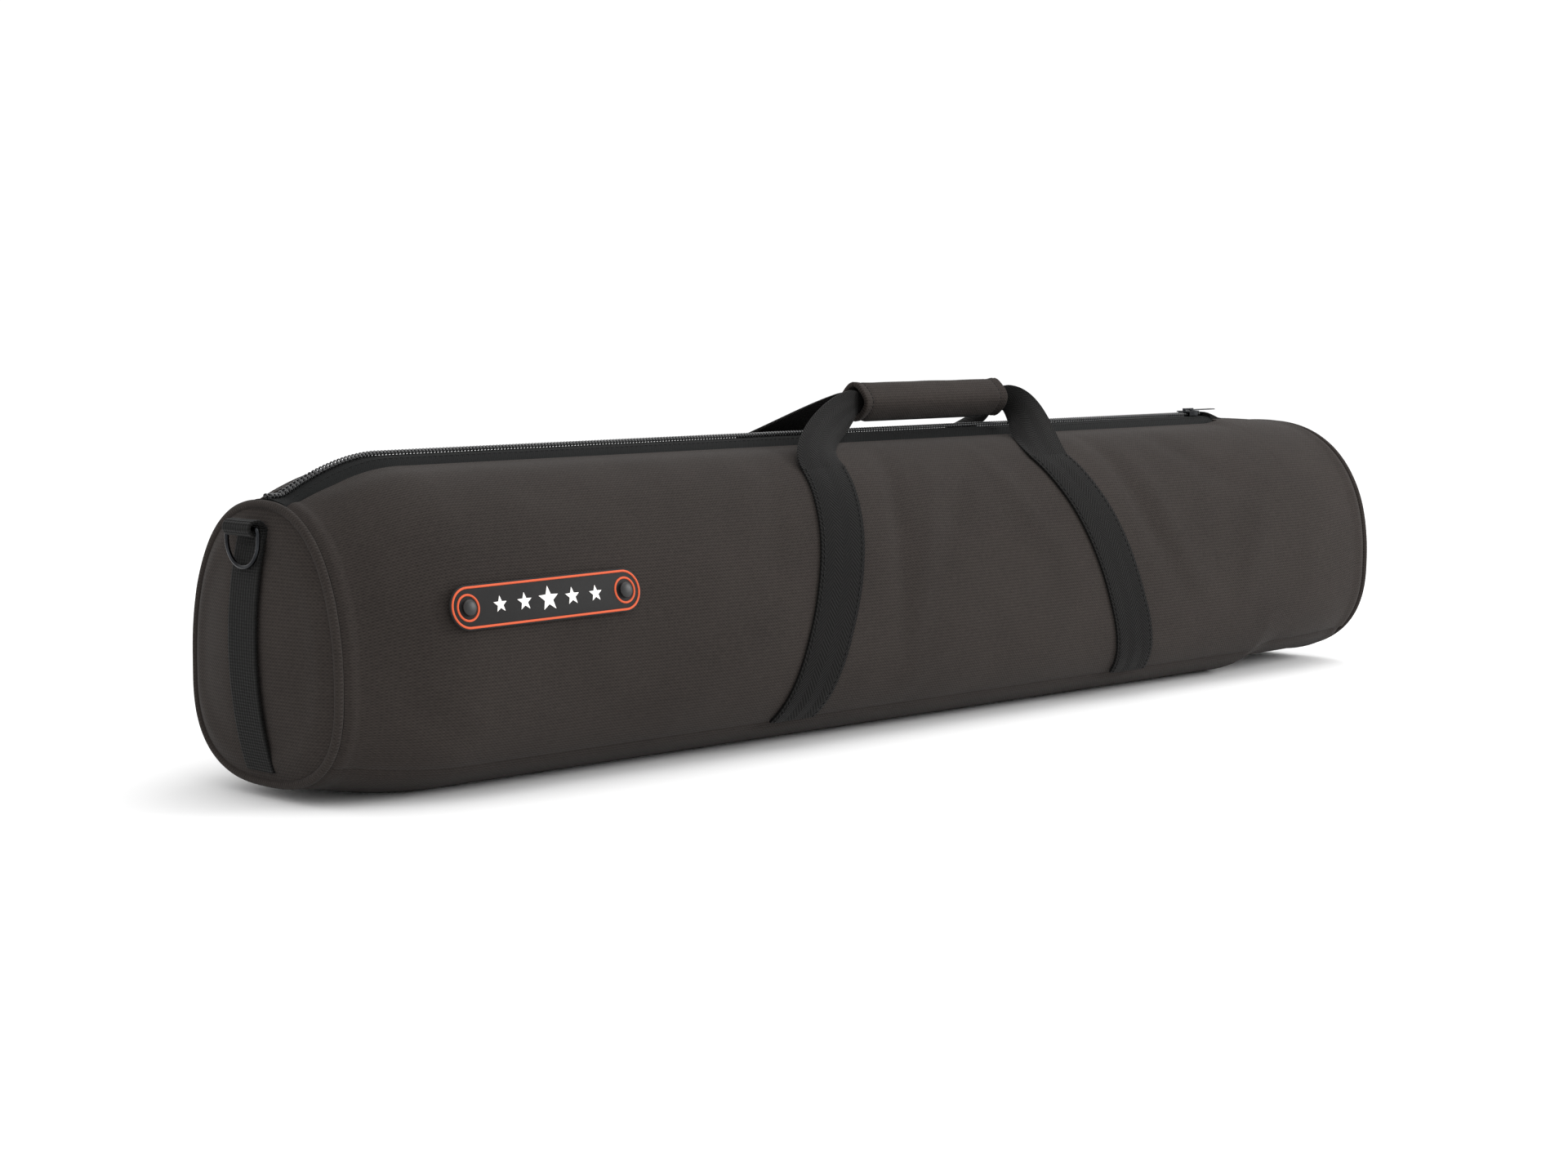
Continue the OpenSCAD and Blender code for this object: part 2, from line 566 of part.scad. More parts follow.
// Puts flat work on the front wall, facing -Y and leaning with it
module on_label(h) {
    translate([label_x, label_point[0], label_point[1]]) rotate([90 - label_lean, 0, 0])
    rotate([0, 0, label_tilt]) translate([0, 0, h]) children();
}
module pill(len, h) {
    square([len - h, h], center = true);
    for (x = [-1, 1]) translate([x * (len - h) / 2, 0]) circle(d = h, $fn = 64);
}
module label_plate() { color("#2e2d2c") on_label(0) linear_extrude(label_t) pill(label_len, label_h); }
module label_rim() {
    rim_w = 1.6;
    rim_in = 1.2;
    ring_d = 19;
    color(trim_col) on_label(label_t) linear_extrude(0.5) {
        difference() {
            pill(label_len - 2 * rim_in, label_h - 2 * rim_in);
            pill(label_len - 2 * (rim_in + rim_w), label_h - 2 * (rim_in + rim_w));
        }
        for (x = [-1, 1]) translate([x * rivet_pitch / 2, 0]) difference() {
            circle(d = ring_d, $fn = 64);
            circle(d = ring_d - 2 * rim_w, $fn = 64);
        }
    }
}
// A row of plain five-pointed stars
module star(r) {
    polygon([for (i = [0:9]) let (a = 90 + 36 * i, q = i % 2 == 0 ? r : r * 0.42) [q * cos(a), q * sin(a)]]);
}
module label_motif() {
    star_pitch = 21;
    color(white_col) on_label(label_t) linear_extrude(0.5)
        for (i = [-2:2]) translate([i * star_pitch, 0]) star(i == 0 ? 9 : 7 - abs(i) * 0.5);
}
module label_rivets() {
    color("#2a2a2a") for (x = [-1, 1]) on_label(label_t) translate([x * rivet_pitch / 2, 0, 0])
        rotate_extrude($fn = 48) polygon([[0, 0], [5.5, 0], [4.8, 0.9], [3, 1.5], [0, 1.7]]);
}

near_end_panel();
near_end_padding();
near_end_lining();
near_piping();
near_end_strap();
far_end_panel();
far_end_padding();
far_end_lining();
far_piping();
far_end_strap();
near_collar_fabric();
near_collar_padding();
near_collar_lining();
far_collar_fabric();
far_collar_padding();
far_collar_lining();
base_panel();
base_padding();
base_board();
base_lining();
near_zip_tapes();
near_zip_coils();
far_zip_tapes();
far_zip_coils();
zip_end_tab();
zip_stops();
front_wall_fabric();
front_wall_padding();
front_wall_lining();
front_zip_tape();
front_zip_coil();
front_near_leg();
front_far_leg();
label_plate();
label_rim();
label_motif();
label_rivets();
rear_wall_fabric();
rear_wall_padding();
rear_wall_lining();
rear_zip_tape();
rear_zip_coil();
rear_near_leg();
rear_far_leg();
front_loop();
rear_loop();
grip_wrap();
grip_loop_strip();
grip_flap();
grip_hook_strip();
zip_slider();
zip_pull();
near_d_ring();
far_d_ring();
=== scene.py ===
"""Looks of a long padded tube case: sewn fabric walls, domed ends, a coil zip and a wrap handle."""

import logging
import math
from dataclasses import dataclass
from enum import Enum
from typing import Callable, Optional, Sequence

import bpy
import numpy as np
from mathutils import Matrix, Vector, noise


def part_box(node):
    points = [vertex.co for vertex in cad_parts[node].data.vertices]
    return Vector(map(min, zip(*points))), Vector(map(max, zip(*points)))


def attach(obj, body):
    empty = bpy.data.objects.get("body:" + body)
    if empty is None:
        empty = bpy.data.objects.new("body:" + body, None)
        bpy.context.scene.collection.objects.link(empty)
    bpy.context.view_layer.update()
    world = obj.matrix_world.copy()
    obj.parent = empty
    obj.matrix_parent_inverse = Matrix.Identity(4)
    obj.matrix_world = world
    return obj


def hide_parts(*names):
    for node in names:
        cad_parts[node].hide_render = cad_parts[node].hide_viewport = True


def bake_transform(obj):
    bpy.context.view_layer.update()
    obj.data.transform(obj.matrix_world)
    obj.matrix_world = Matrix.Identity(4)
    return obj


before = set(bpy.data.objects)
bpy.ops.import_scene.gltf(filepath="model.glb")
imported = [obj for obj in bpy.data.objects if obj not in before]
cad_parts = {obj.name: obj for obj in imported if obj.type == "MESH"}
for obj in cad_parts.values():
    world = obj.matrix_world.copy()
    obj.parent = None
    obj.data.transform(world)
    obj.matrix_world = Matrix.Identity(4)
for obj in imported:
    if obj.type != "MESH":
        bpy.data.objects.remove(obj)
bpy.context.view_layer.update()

log = logging.getLogger("case")

Point = tuple[float, float, float]
Placed = tuple[Vector, float, float]

MM = 0.001


# ---------------------------------------------------------------- choices


class Side(Enum):
    """A long side of the case, by the sign of its Y."""

    FRONT = -1
    REAR = 1

    @property
    def word(self) -> str:
        """The name that the side's pieces start with."""
        return "front" if self is Side.FRONT else "rear"

    @property
    def body(self) -> str:
        """The moving body of this side's wall."""
        return f"{self.word}_wall"


class End(Enum):
    """An end of the case, by the sign of its X."""

    NEAR = -1
    FAR = 1

    @property
    def word(self) -> str:
        """The name that the end's pieces start with."""
        return "near" if self is End.NEAR else "far"


class Stretch(Enum):
    """The three lengths that a side is cut into, under the centre lines of the handle's legs."""

    NEAR = "near"
    MIDDLE = "middle"
    FAR = "far"


class Weave(Enum):
    """How a cloth's threads cross."""

    PLAIN = "plain"
    TWILL = "twill"
    HERRINGBONE = "herringbone"
    RIB = "rib"


# ---------------------------------------------------------------- finishes


def linear(hex_colour: str) -> tuple[float, float, float, float]:
    """Turns an sRGB hex colour into linear values.

    Args:
        hex_colour: six hex digits after a hash.

    Returns:
        Red, green, blue and an alpha of one.
    """
    parts = [int(hex_colour[i : i + 2], 16) / 255 for i in (1, 3, 5)]
    lin = [c / 12.92 if c <= 0.04045 else ((c + 0.055) / 1.055) ** 2.4 for c in parts]
    return (lin[0], lin[1], lin[2], 1.0)


def add_node(
    tree: bpy.types.NodeTree, kind: str, inputs: Optional[dict] = None, **settings
) -> bpy.types.Node:
    """Adds a node with its settings, and with its inputs set or linked.

    Args:
        tree: the node tree that it goes in.
        kind: the node's class name.
        inputs: input name or number to a value, or to the socket that feeds it.
        **settings: the node's own properties.

    Returns:
        The node.
    """
    made = tree.nodes.new(kind)
    for name, value in settings.items():
        setattr(made, name, value)
    for name, value in (inputs or {}).items():
        if isinstance(value, bpy.types.NodeSocket):
            tree.links.new(value, made.inputs[name])
        else:
            made.inputs[name].default_value = value
    return made


def new_material(name: str, shader: dict) -> tuple[bpy.types.Material, bpy.types.NodeTree, bpy.types.Node]:
    """Starts a material with one principled shader.

    Args:
        name: the finish's name.
        shader: the shader's own constant values.

    Returns:
        The material, its tree and its shader.
    """
    material = bpy.data.materials.new(name)
    material.use_nodes = True
    tree = material.node_tree
    tree.nodes.clear()
    principled = add_node(tree, "ShaderNodeBsdfPrincipled", shader)
    add_node(tree, "ShaderNodeOutputMaterial", {"Surface": principled.outputs[0]})
    return material, tree, principled


@dataclass(frozen=True)
class WovenCloth:
    """Woven polyester: its pattern follows the cloth through the piece's own UV map, in metres."""

    name: str
    lit: str
    deep: str
    weave: Weave
    pitch_mm: float
    relief_mm: float
    roughness: float = 0.9
    sheen: float = 0.25
    cloud: float = 0.5
    chevron_mm: float = 9.0
    specular: float = 0.08

    def _wave(
        self, tree: bpy.types.NodeTree, value: bpy.types.NodeSocket, pitch_mm: float
    ) -> bpy.types.NodeSocket:
        """A sine along a length in metres, one wave for each pitch."""
        turn = 2 * math.pi / (pitch_mm * MM)
        scaled = add_node(tree, "ShaderNodeMath", {0: value, 1: turn}, operation="MULTIPLY")
        return add_node(tree, "ShaderNodeMath", {0: scaled.outputs[0]}, operation="SINE").outputs[0]

    def _threads(self, tree: bpy.types.NodeTree) -> bpy.types.NodeSocket:
        """The height of the threads, from -1 to 1, by the kind of weave."""
        uv = add_node(tree, "ShaderNodeUVMap", uv_map="UVMap")
        wobble = add_node(tree, "ShaderNodeTexNoise", {"Vector": uv.outputs[0], "Scale": 60.0, "Detail": 1.0})
        shift = add_node(
            tree,
            "ShaderNodeVectorMath",
            {0: wobble.outputs["Color"], "Scale": 0.35 * self.pitch_mm * MM},
            operation="SCALE",
        )
        bent = add_node(
            tree,
            "ShaderNodeVectorMath",
            {0: uv.outputs[0], 1: shift.outputs[0]},
            operation="ADD",
        )
        axes = add_node(tree, "ShaderNodeSeparateXYZ", {0: bent.outputs[0]})
        u, v = axes.outputs[0], axes.outputs[1]
        if self.weave is Weave.PLAIN:
            across = self._wave(tree, u, self.pitch_mm * 1.15)
            along = self._wave(tree, v, self.pitch_mm)
            crossing = add_node(tree, "ShaderNodeMath", {0: across, 1: along}, operation="MULTIPLY")
            return add_node(
                tree, "ShaderNodeMath", {0: along, 1: 0.75, 2: crossing.outputs[0]}, operation="MULTIPLY_ADD"
            ).outputs[0]
        if self.weave is Weave.RIB:
            rib = self._wave(tree, v, self.pitch_mm)
            cord = self._wave(tree, u, self.pitch_mm * 1.3)
            return add_node(
                tree,
                "ShaderNodeMath",
                {0: cord, 1: 0.25, 2: rib},
                operation="MULTIPLY_ADD",
            ).outputs[0]
        slant = u
        if self.weave is Weave.HERRINGBONE:
            slant = add_node(
                tree, "ShaderNodeMath", {0: u, 1: self.chevron_mm * MM}, operation="PINGPONG"
            ).outputs[0]
        diagonal = add_node(tree, "ShaderNodeMath", {0: slant, 1: v}, operation="ADD")
        return self._wave(tree, diagonal.outputs[0], self.pitch_mm)

    def make(self) -> bpy.types.Material:
        """Builds the cloth's material."""
        material, tree, shader = new_material(
            self.name,
            {
                "Roughness": self.roughness,
                "IOR": 1.45,
                "Specular IOR Level": self.specular,
                "Sheen Weight": self.sheen,
                "Sheen Roughness": 0.45,
            },
        )
        threads = self._threads(tree)
        place = add_node(tree, "ShaderNodeTexCoord")
        cloud = add_node(
            tree,
            "ShaderNodeTexNoise",
            {"Vector": place.outputs["Object"], "Scale": 9.0, "Detail": 3.0, "Roughness": 0.6},
        )
        fibre = add_node(
            tree, "ShaderNodeTexNoise", {"Vector": place.outputs["Object"], "Scale": 420.0, "Detail": 2.0}
        )
        # The threads' height shifts the colour: painted light on the thread crests and painted shade in the
        # hollows between them. The cloud and fibre noise add random tone on top.
        lift = add_node(tree, "ShaderNodeMath", {0: threads, 1: 0.16, 2: 0.5}, operation="MULTIPLY_ADD")
        speck_and_thread_shade = add_node(
            tree,
            "ShaderNodeMath",
            {0: fibre.outputs[0], 1: 0.5, 2: lift.outputs[0]},
            operation="MULTIPLY_ADD",
        )
        tone_and_thread_shade = add_node(
            tree,
            "ShaderNodeMath",
            {0: cloud.outputs[0], 1: self.cloud, 2: speck_and_thread_shade.outputs[0]},
            operation="MULTIPLY_ADD",
        )
        level = add_node(
            tree, "ShaderNodeMapRange", {"Value": tone_and_thread_shade.outputs[0], "From Min": 0.45, "From Max": 1.5}
        )
        colour = add_node(
            tree,
            "ShaderNodeMix",
            {0: level.outputs[0], 6: linear(self.deep), 7: linear(self.lit)},
            data_type="RGBA",
        )
        tree.links.new(colour.outputs[2], shader.inputs["Base Color"])
        height = add_node(
            tree, "ShaderNodeMath", {0: fibre.outputs[0], 1: 0.8, 2: threads}, operation="MULTIPLY_ADD"
        )
        bump = add_node(
            tree,
            "ShaderNodeBump",
            {"Height": height.outputs[0], "Distance": self.relief_mm * MM, "Strength": 0.6},
        )
        tree.links.new(bump.outputs[0], shader.inputs["Normal"])
        return material


@dataclass(frozen=True)
class Moulded:
    """A moulded or turned solid finish: rubber, plastic or plated wire.

    It has a fine grain and rubbed spots; on the nylon coil the lighter spots are painted highlight, not wear.
    """

    name: str
    colour: str
    worn: str
    roughness: float
    grain_mm: float
    relief_mm: float
    metallic: float = 0.0
    coat: float = 0.0
    rub: float = 0.35
    specular: float = 0.5

    def make(self) -> bpy.types.Material:
        """Builds the material."""
        values = {"Metallic": self.metallic, "Coat Weight": self.coat}
        if not self.metallic:
            values["IOR"] = 1.5
            values["Specular IOR Level"] = self.specular
        material, tree, shader = new_material(self.name, values)
        place = add_node(tree, "ShaderNodeTexCoord")
        grain = add_node(
            tree,
            "ShaderNodeTexNoise",
            {"Vector": place.outputs["Object"], "Scale": 1 / (self.grain_mm * MM), "Detail": 3.0},
        )
        patch = add_node(
            tree,
            "ShaderNodeTexNoise",
            {"Vector": place.outputs["Object"], "Scale": 70.0, "Detail": 4.0},
        )
        # On the nylon coil these patches are painted highlight in a lighter colour; on the other finishes
        # they are rubbed wear.
        rubbed_and_highlight = add_node(
            tree,
            "ShaderNodeMapRange",
            {"Value": patch.outputs[0], "From Min": 0.45, "From Max": 0.75, "To Max": self.rub},
        )
        colour = add_node(
            tree,
            "ShaderNodeMix",
            {0: rubbed_and_highlight.outputs[0], 6: linear(self.colour), 7: linear(self.worn)},
            data_type="RGBA",
        )
        tree.links.new(colour.outputs[2], shader.inputs["Base Color"])
        dull = add_node(
            tree,
            "ShaderNodeMapRange",
            {"Value": grain.outputs[0], "To Min": self.roughness - 0.08, "To Max": self.roughness + 0.08},
        )
        tree.links.new(dull.outputs[0], shader.inputs["Roughness"])
        bump = add_node(
            tree,
            "ShaderNodeBump",
            {"Height": grain.outputs[0], "Distance": self.relief_mm * MM, "Strength": 0.4},
        )
        tree.links.new(bump.outputs[0], shader.inputs["Normal"])
        return material


class Finishes:
    """Every material of the case, made once."""

    def __init__(self) -> None:
        """Makes the materials."""
        # Oxford polyester, 0.6 mm threads drawn at 2.4 mm so that the ribs show: a dull warm charcoal
        self.shell = WovenCloth(
            "oxford_polyester",
            "#393431",
            "#1a1716",
            Weave.PLAIN,
            2.4,
            0.16,
            0.9,
            0.04,
        ).make()
        # Polypropylene webbing in a fine herringbone, drawn at 3 mm: a cooler black with a slight shine
        self.webbing = WovenCloth(
            "herringbone_webbing", "#191817", "#080808", Weave.HERRINGBONE, 3.0, 0.3, 0.72, 0.04, 0.3
        ).make()
        # Ribbed polyester webbing: its cross ribs stand up 0.3 mm, at a spacing of 2.2 mm
        self.ribbed = WovenCloth(
            "ribbed_webbing",
            "#1e1e1d",
            "#080808",
            Weave.RIB,
            2.2,
            0.6,
            0.7,
            0.05,
            0.25,
        ).make()
        # Zip tape: a tight flat twill, almost black
        self.tape = WovenCloth(
            "zip_tape_twill",
            "#161717",
            "#090a0a",
            Weave.TWILL,
            1.8,
            0.15,
            0.8,
            0.03,
            0.25,
        ).make()
        # Thin taffeta lining: smoother and a little shinier than the shell
        self.lining = WovenCloth(
            "taffeta_lining",
            "#303133",
            "#1a1b1d",
            Weave.PLAIN,
            1.4,
            0.06,
            0.6,
            0.1,
            0.3,
        ).make()
        # Open cell polyurethane foam between the cloths: soft grey with fine pores
        self.foam = Moulded("polyurethane_foam", "#6c6c6e", "#58585a", 0.95, 1.6, 0.5).make()
        # Nylon coil: drawn wire, satin black with a wet highlight along each turn from its coat; its lighter
        # second colour, mixed in by random patches, is painted highlight
        self.coil = Moulded("nylon_coil", "#1b1c1d", "#2c2d2e", 0.3, 2.0, 0.02, coat=0.2).make()
        # Polyester sewing thread, drawn thicker than life so that the rows show
        self.thread = Moulded("black_thread", "#0c0c0c", "#181818", 0.7, 0.6, 0.05, specular=0.2).make()
        # The same thread in orange
        self.orange_thread = Moulded("orange_thread", "#d8552a", "#c04a24", 0.6, 0.6, 0.05).make()
        # Steel wire with a black oxide skin: dark, hard and glossy
        self.wire = Moulded(
            "blackened_steel",
            "#232426",
            "#55585c",
            0.22,
            1.2,
            0.01,
            metallic=1.0,
            rub=0.25,
        ).make()
        # Die cast zinc painted black for the zip's slider
        self.cast = Moulded(
            "painted_zinc",
            "#1d1e20",
            "#6e7174",
            0.3,
            0.8,
            0.02,
            metallic=1.0,
            rub=0.3,
        ).make()
        # Soft moulded rubber of the label: matt black with a fine pebble
        self.rubber = Moulded("black_rubber", "#151414", "#1d1c1b", 0.62, 0.9, 0.05, specular=0.2).make()
        # The same rubber, coloured orange and white
        self.orange = Moulded(
            "orange_rubber",
            "#c9532c",
            "#c04c28",
            0.55,
            0.9,
            0.03,
            rub=0.2,
            specular=0.3,
        ).make()
        self.white = Moulded("white_rubber", "#f1efec", "#dedbd6", 0.5, 0.9, 0.03, rub=0.2).make()
        # Polypropylene sheet for the base board
        self.board = Moulded("polypropylene_board", "#1e1e1e", "#2a2a2a", 0.5, 1.5, 0.04).make()
        # Hook and loop tape: a stiff dark pile
        self.pile = Moulded("hook_and_loop", "#1f2021", "#2e2f30", 0.95, 0.7, 0.6).make()
        # Coated steel rivet caps
        self.rivet = Moulded("coated_rivet", "#191919", "#2c2c2d", 0.42, 0.8, 0.02, specular=0.4).make()


# ---------------------------------------------------------------- modelling tools


def deselect_all() -> None:
    """Leaves object mode with nothing selected."""
    if bpy.context.object and bpy.context.object.mode != "OBJECT":
        bpy.ops.object.mode_set(mode="OBJECT")
    bpy.ops.object.select_all(action="DESELECT")


def take(name: str) -> bpy.types.Object:
    """Names the primitive that was just added and returns it."""
    made = bpy.context.active_object
    made.name = name
    made.data.name = name
    return made


def hold(piece: bpy.types.Object) -> None:
    """Selects one piece alone and makes it active."""
    deselect_all()
    piece.select_set(True)
    bpy.context.view_layer.objects.active = piece


def merge_doubles(piece: bpy.types.Object, limit: float = 1e-6) -> None:
    """Welds points that lie on each other, and turns all faces outwards.

    Args:
        piece: a closed mesh.
        limit: how near two points are, in metres.
    """
    hold(piece)
    bpy.ops.object.mode_set(mode="EDIT")
    bpy.ops.mesh.select_all(action="SELECT")
    bpy.ops.mesh.remove_doubles(threshold=limit)
    bpy.ops.mesh.normals_make_consistent(inside=False)
    bpy.ops.object.mode_set(mode="OBJECT")


def flip_faces(piece: bpy.types.Object) -> None:
    """Turns every face of a piece over."""
    hold(piece)
    bpy.ops.object.mode_set(mode="EDIT")
    bpy.ops.mesh.select_all(action="SELECT")
    bpy.ops.mesh.flip_normals()
    bpy.ops.object.mode_set(mode="OBJECT")


def face_away(piece: bpy.types.Object, middle: Vector) -> None:
    """Turns an open sheet's faces away from a line along X.

    Args:
        piece: the sheet.
        middle: a point of the line; its X isn't used.
    """
    total = 0.0
    for face in piece.data.polygons:
        out = face.center - middle
        out.x = 0
        total += face.area * face.normal.dot(out)
    if total < 0:
        flip_faces(piece)


def use_modifier(piece: bpy.types.Object, kind: str, **settings) -> None:
    """Adds a modifier with its settings and applies it.

    Args:
        piece: the mesh that it changes.
        kind: the modifier's type.
        **settings: its properties.
    """
    hold(piece)
    added = piece.modifiers.new(kind.title(), kind)
    for name, value in settings.items():
        setattr(added, name, value)
    bpy.ops.object.modifier_apply(modifier=added.name)


def smooth(piece: bpy.types.Object, angle: float = 42.0) -> None:
    """Shades a piece smooth, except across edges sharper than an angle in degrees."""
    hold(piece)
    bpy.ops.object.shade_smooth_by_angle(angle=math.radians(angle))


def shaped_grid(
    name: str,
    across: int,
    along: int,
    place: Callable[[float, float], Placed],
    closed: bool = False,
) -> bpy.types.Object:
    """Adds a grid primitive and moves each of its points to its place on a surface.

    Args:
        name: the piece's name.
        across: faces in the first direction.
        along: faces in the second direction.
        place: from two shares, 0 to 1, to a point and the cloth's own two lengths in metres.
        closed: whether edges meet and are welded.

    Returns:
        The piece, with a UV map in metres.
    """
    deselect_all()
    bpy.ops.mesh.primitive_grid_add(x_subdivisions=across, y_subdivisions=along, size=2)
    piece = take(name)
    mesh = piece.data
    layer = mesh.uv_layers.active or mesh.uv_layers.new(name="UVMap")
    layer.name = "UVMap"
    lengths = []
    for vertex in mesh.vertices:
        point, u, v = place((vertex.co.x + 1) / 2, (vertex.co.y + 1) / 2)
        vertex.co = point
        lengths.append((u, v))
    for loop in mesh.loops:
        layer.data[loop.index].uv = lengths[loop.vertex_index]
    mesh.update()
    if closed:
        merge_doubles(piece)
    return piece


def tube(
    name: str,
    path: Sequence[Vector],
    sideways: Sequence[Vector],
    upward: Sequence[Vector],
    half_width: float,
    half_height: float,
    sides: int,
    looped: bool,
) -> bpy.types.Object:
    """Wraps a grid into a round or flattened tube along a path.

    Args:
        name: the piece's name.
        path: points of the middle line.
        sideways: the width direction at each point.
        upward: the height direction at each point.
        half_width: half of the tube's width.
        half_height: half of its height.
        sides: faces round the tube.
        looped: whether the path's last point is also its first.

    Returns:
        The tube, open at its ends unless it is looped.
    """
    count = len(path) - 1
    reach = [0.0]
    for a, b in zip(path, path[1:]):
        reach.append(reach[-1] + (b - a).length)

    def place(u: float, v: float) -> Placed:
        """A point at a share round the tube and a share along it."""
        i = round(v * count)
        turn = 2 * math.pi * u
        point = (
            path[i] + sideways[i] * (half_width * math.cos(turn)) + upward[i] * (half_height * math.sin(turn))
        )
        return point, u * math.pi * (half_width + half_height), reach[i]

    made = shaped_grid(name, sides, count, place, closed=True)
    if not looped:
        hold(made)
        bpy.ops.object.mode_set(mode="EDIT")
        bpy.ops.mesh.select_all(action="DESELECT")
        bpy.ops.mesh.select_mode(type="EDGE")
        bpy.ops.mesh.select_non_manifold()
        bpy.ops.mesh.edge_face_add()
        bpy.ops.mesh.select_all(action="SELECT")
        bpy.ops.mesh.normals_make_consistent(inside=False)
        bpy.ops.object.mode_set(mode="OBJECT")
    return made


def copies(name: str, model: bpy.types.Object, places: Sequence[Matrix]) -> bpy.types.Object:
    """Repeats a small model at many places, as one piece, and takes the model away.

    Args:
        name: the piece's name.
        model: the shape that repeats.
        places: where each copy goes.

    Returns:
        The joined copies.
    """
    corners = np.array([list(v.co) + [1.0] for v in model.data.vertices])
    faces = [list(p.vertices) for p in model.data.polygons]
    points = []
    polygons = []
    for k, matrix in enumerate(places):
        points.extend((corners @ np.array(matrix).T)[:, :3].tolist())
        polygons.extend([[i + k * len(corners) for i in face] for face in faces])
    mesh = bpy.data.meshes.new(name)
    mesh.from_pydata(points, [], polygons)
    mesh.uv_layers.new(name="UVMap")
    made = bpy.data.objects.new(name, mesh)
    bpy.context.scene.collection.objects.link(made)
    bpy.data.objects.remove(model)
    return made


def join(main: bpy.types.Object, others: Sequence[bpy.types.Object]) -> bpy.types.Object:
    """Joins other pieces into a main one, each keeping its material."""
    hold(main)
    for other in others:
        other.select_set(True)
    bpy.ops.object.join()
    return main


def dress(piece: bpy.types.Object, material: bpy.types.Material) -> bpy.types.Object:
    """Gives a piece one material."""
    piece.data.materials.clear()
    piece.data.materials.append(material)
    return piece


def frame_at(point: Vector, forward: Vector, up: Vector) -> Matrix:
    """A place whose X runs forward and whose Z is near up."""
    x = forward.normalized()
    y = up.cross(x).normalized()
    z = x.cross(y)
    turn = Matrix((x, y, z)).transposed().to_4x4()
    return Matrix.Translation(point) @ turn


def stitch_row(
    name: str,
    route: Callable[[float], tuple[Vector, Vector]],
    length: float,
    material: bpy.types.Material,
    pitch: float = 4.2 * MM,
    thread: float = 0.45 * MM,
) -> bpy.types.Object:
    """A row of stitches lying on a cloth.

    Args:
        name: the row's name.
        route: from a share along the row to a point on the cloth and the cloth's outward direction.
        length: the row's length in metres.
        material: the thread.
        pitch: from one stitch to the next.
        thread: the thread's radius.

    Returns:
        The row as one piece.
    """
    deselect_all()
    bpy.ops.mesh.primitive_uv_sphere_add(segments=6, ring_count=4, radius=1)
    model = take(f"{name}_model")
    hold(model)
    bpy.ops.object.mode_set(mode="EDIT")
    bpy.ops.mesh.select_all(action="SELECT")
    bpy.ops.transform.resize(value=(pitch * 0.36, thread, thread * 0.8))
    bpy.ops.object.mode_set(mode="OBJECT")
    count = max(2, int(length / pitch))
    places = []
    for i in range(count):
        share = (i + 0.5) / count
        here, up = route(share)
        ahead, _ = route(min(1.0, share + 0.3 / count))
        behind, _ = route(max(0.0, share - 0.3 / count))
        places.append(frame_at(here + up * (thread * 0.15), ahead - behind, up))
    row = copies(name, model, places)
    row.data.materials.append(material)
    smooth(row, 60)
    return row


# ---------------------------------------------------------------- the case's form


@dataclass(frozen=True)
class Section:
    """One cross-section of the case: half its width and three heights, in metres."""

    half: float
    low: float
    widest: float
    high: float

    def mix(self, other: "Section", share: float) -> "Section":
        """The section at a share of the way to another."""
        mine = (self.half, self.low, self.widest, self.high)
        theirs = (other.half, other.low, other.widest, other.high)
        return Section(*[a + (b - a) * share for a, b in zip(mine, theirs)])


@dataclass(frozen=True)
class Fold:
    """A soft crease or swell of the cloth, drawn as a long bump on a side."""

    x: float
    z: float
    length: float
    width: float
    lean: float
    height: float

    def at(self, x: float, z: float) -> float:
        """Its height at a place on the side."""
        dx, dz = x - self.x, z - self.z
        a = math.radians(self.lean)
        along = dx * math.cos(a) + dz * math.sin(a)
        across = -dx * math.sin(a) + dz * math.cos(a)
        across += 0.18 * along * along / max(self.length, 0.001)
        return self.height * math.exp(-((along / self.length) ** 2) - (across / self.width) ** 2)


def clamp01(value: float) -> float:
    """A value kept between 0 and 1."""
    return max(0.0, min(1.0, value))


def ease(value: float) -> float:
    """A smooth step from 0 to 1."""
    v = clamp01(value)
    return v * v * (3 - 2 * v)


def spow(value: float, power: float) -> float:
    """A power that keeps the value's sign."""
    return math.copysign(abs(value) ** power, value)


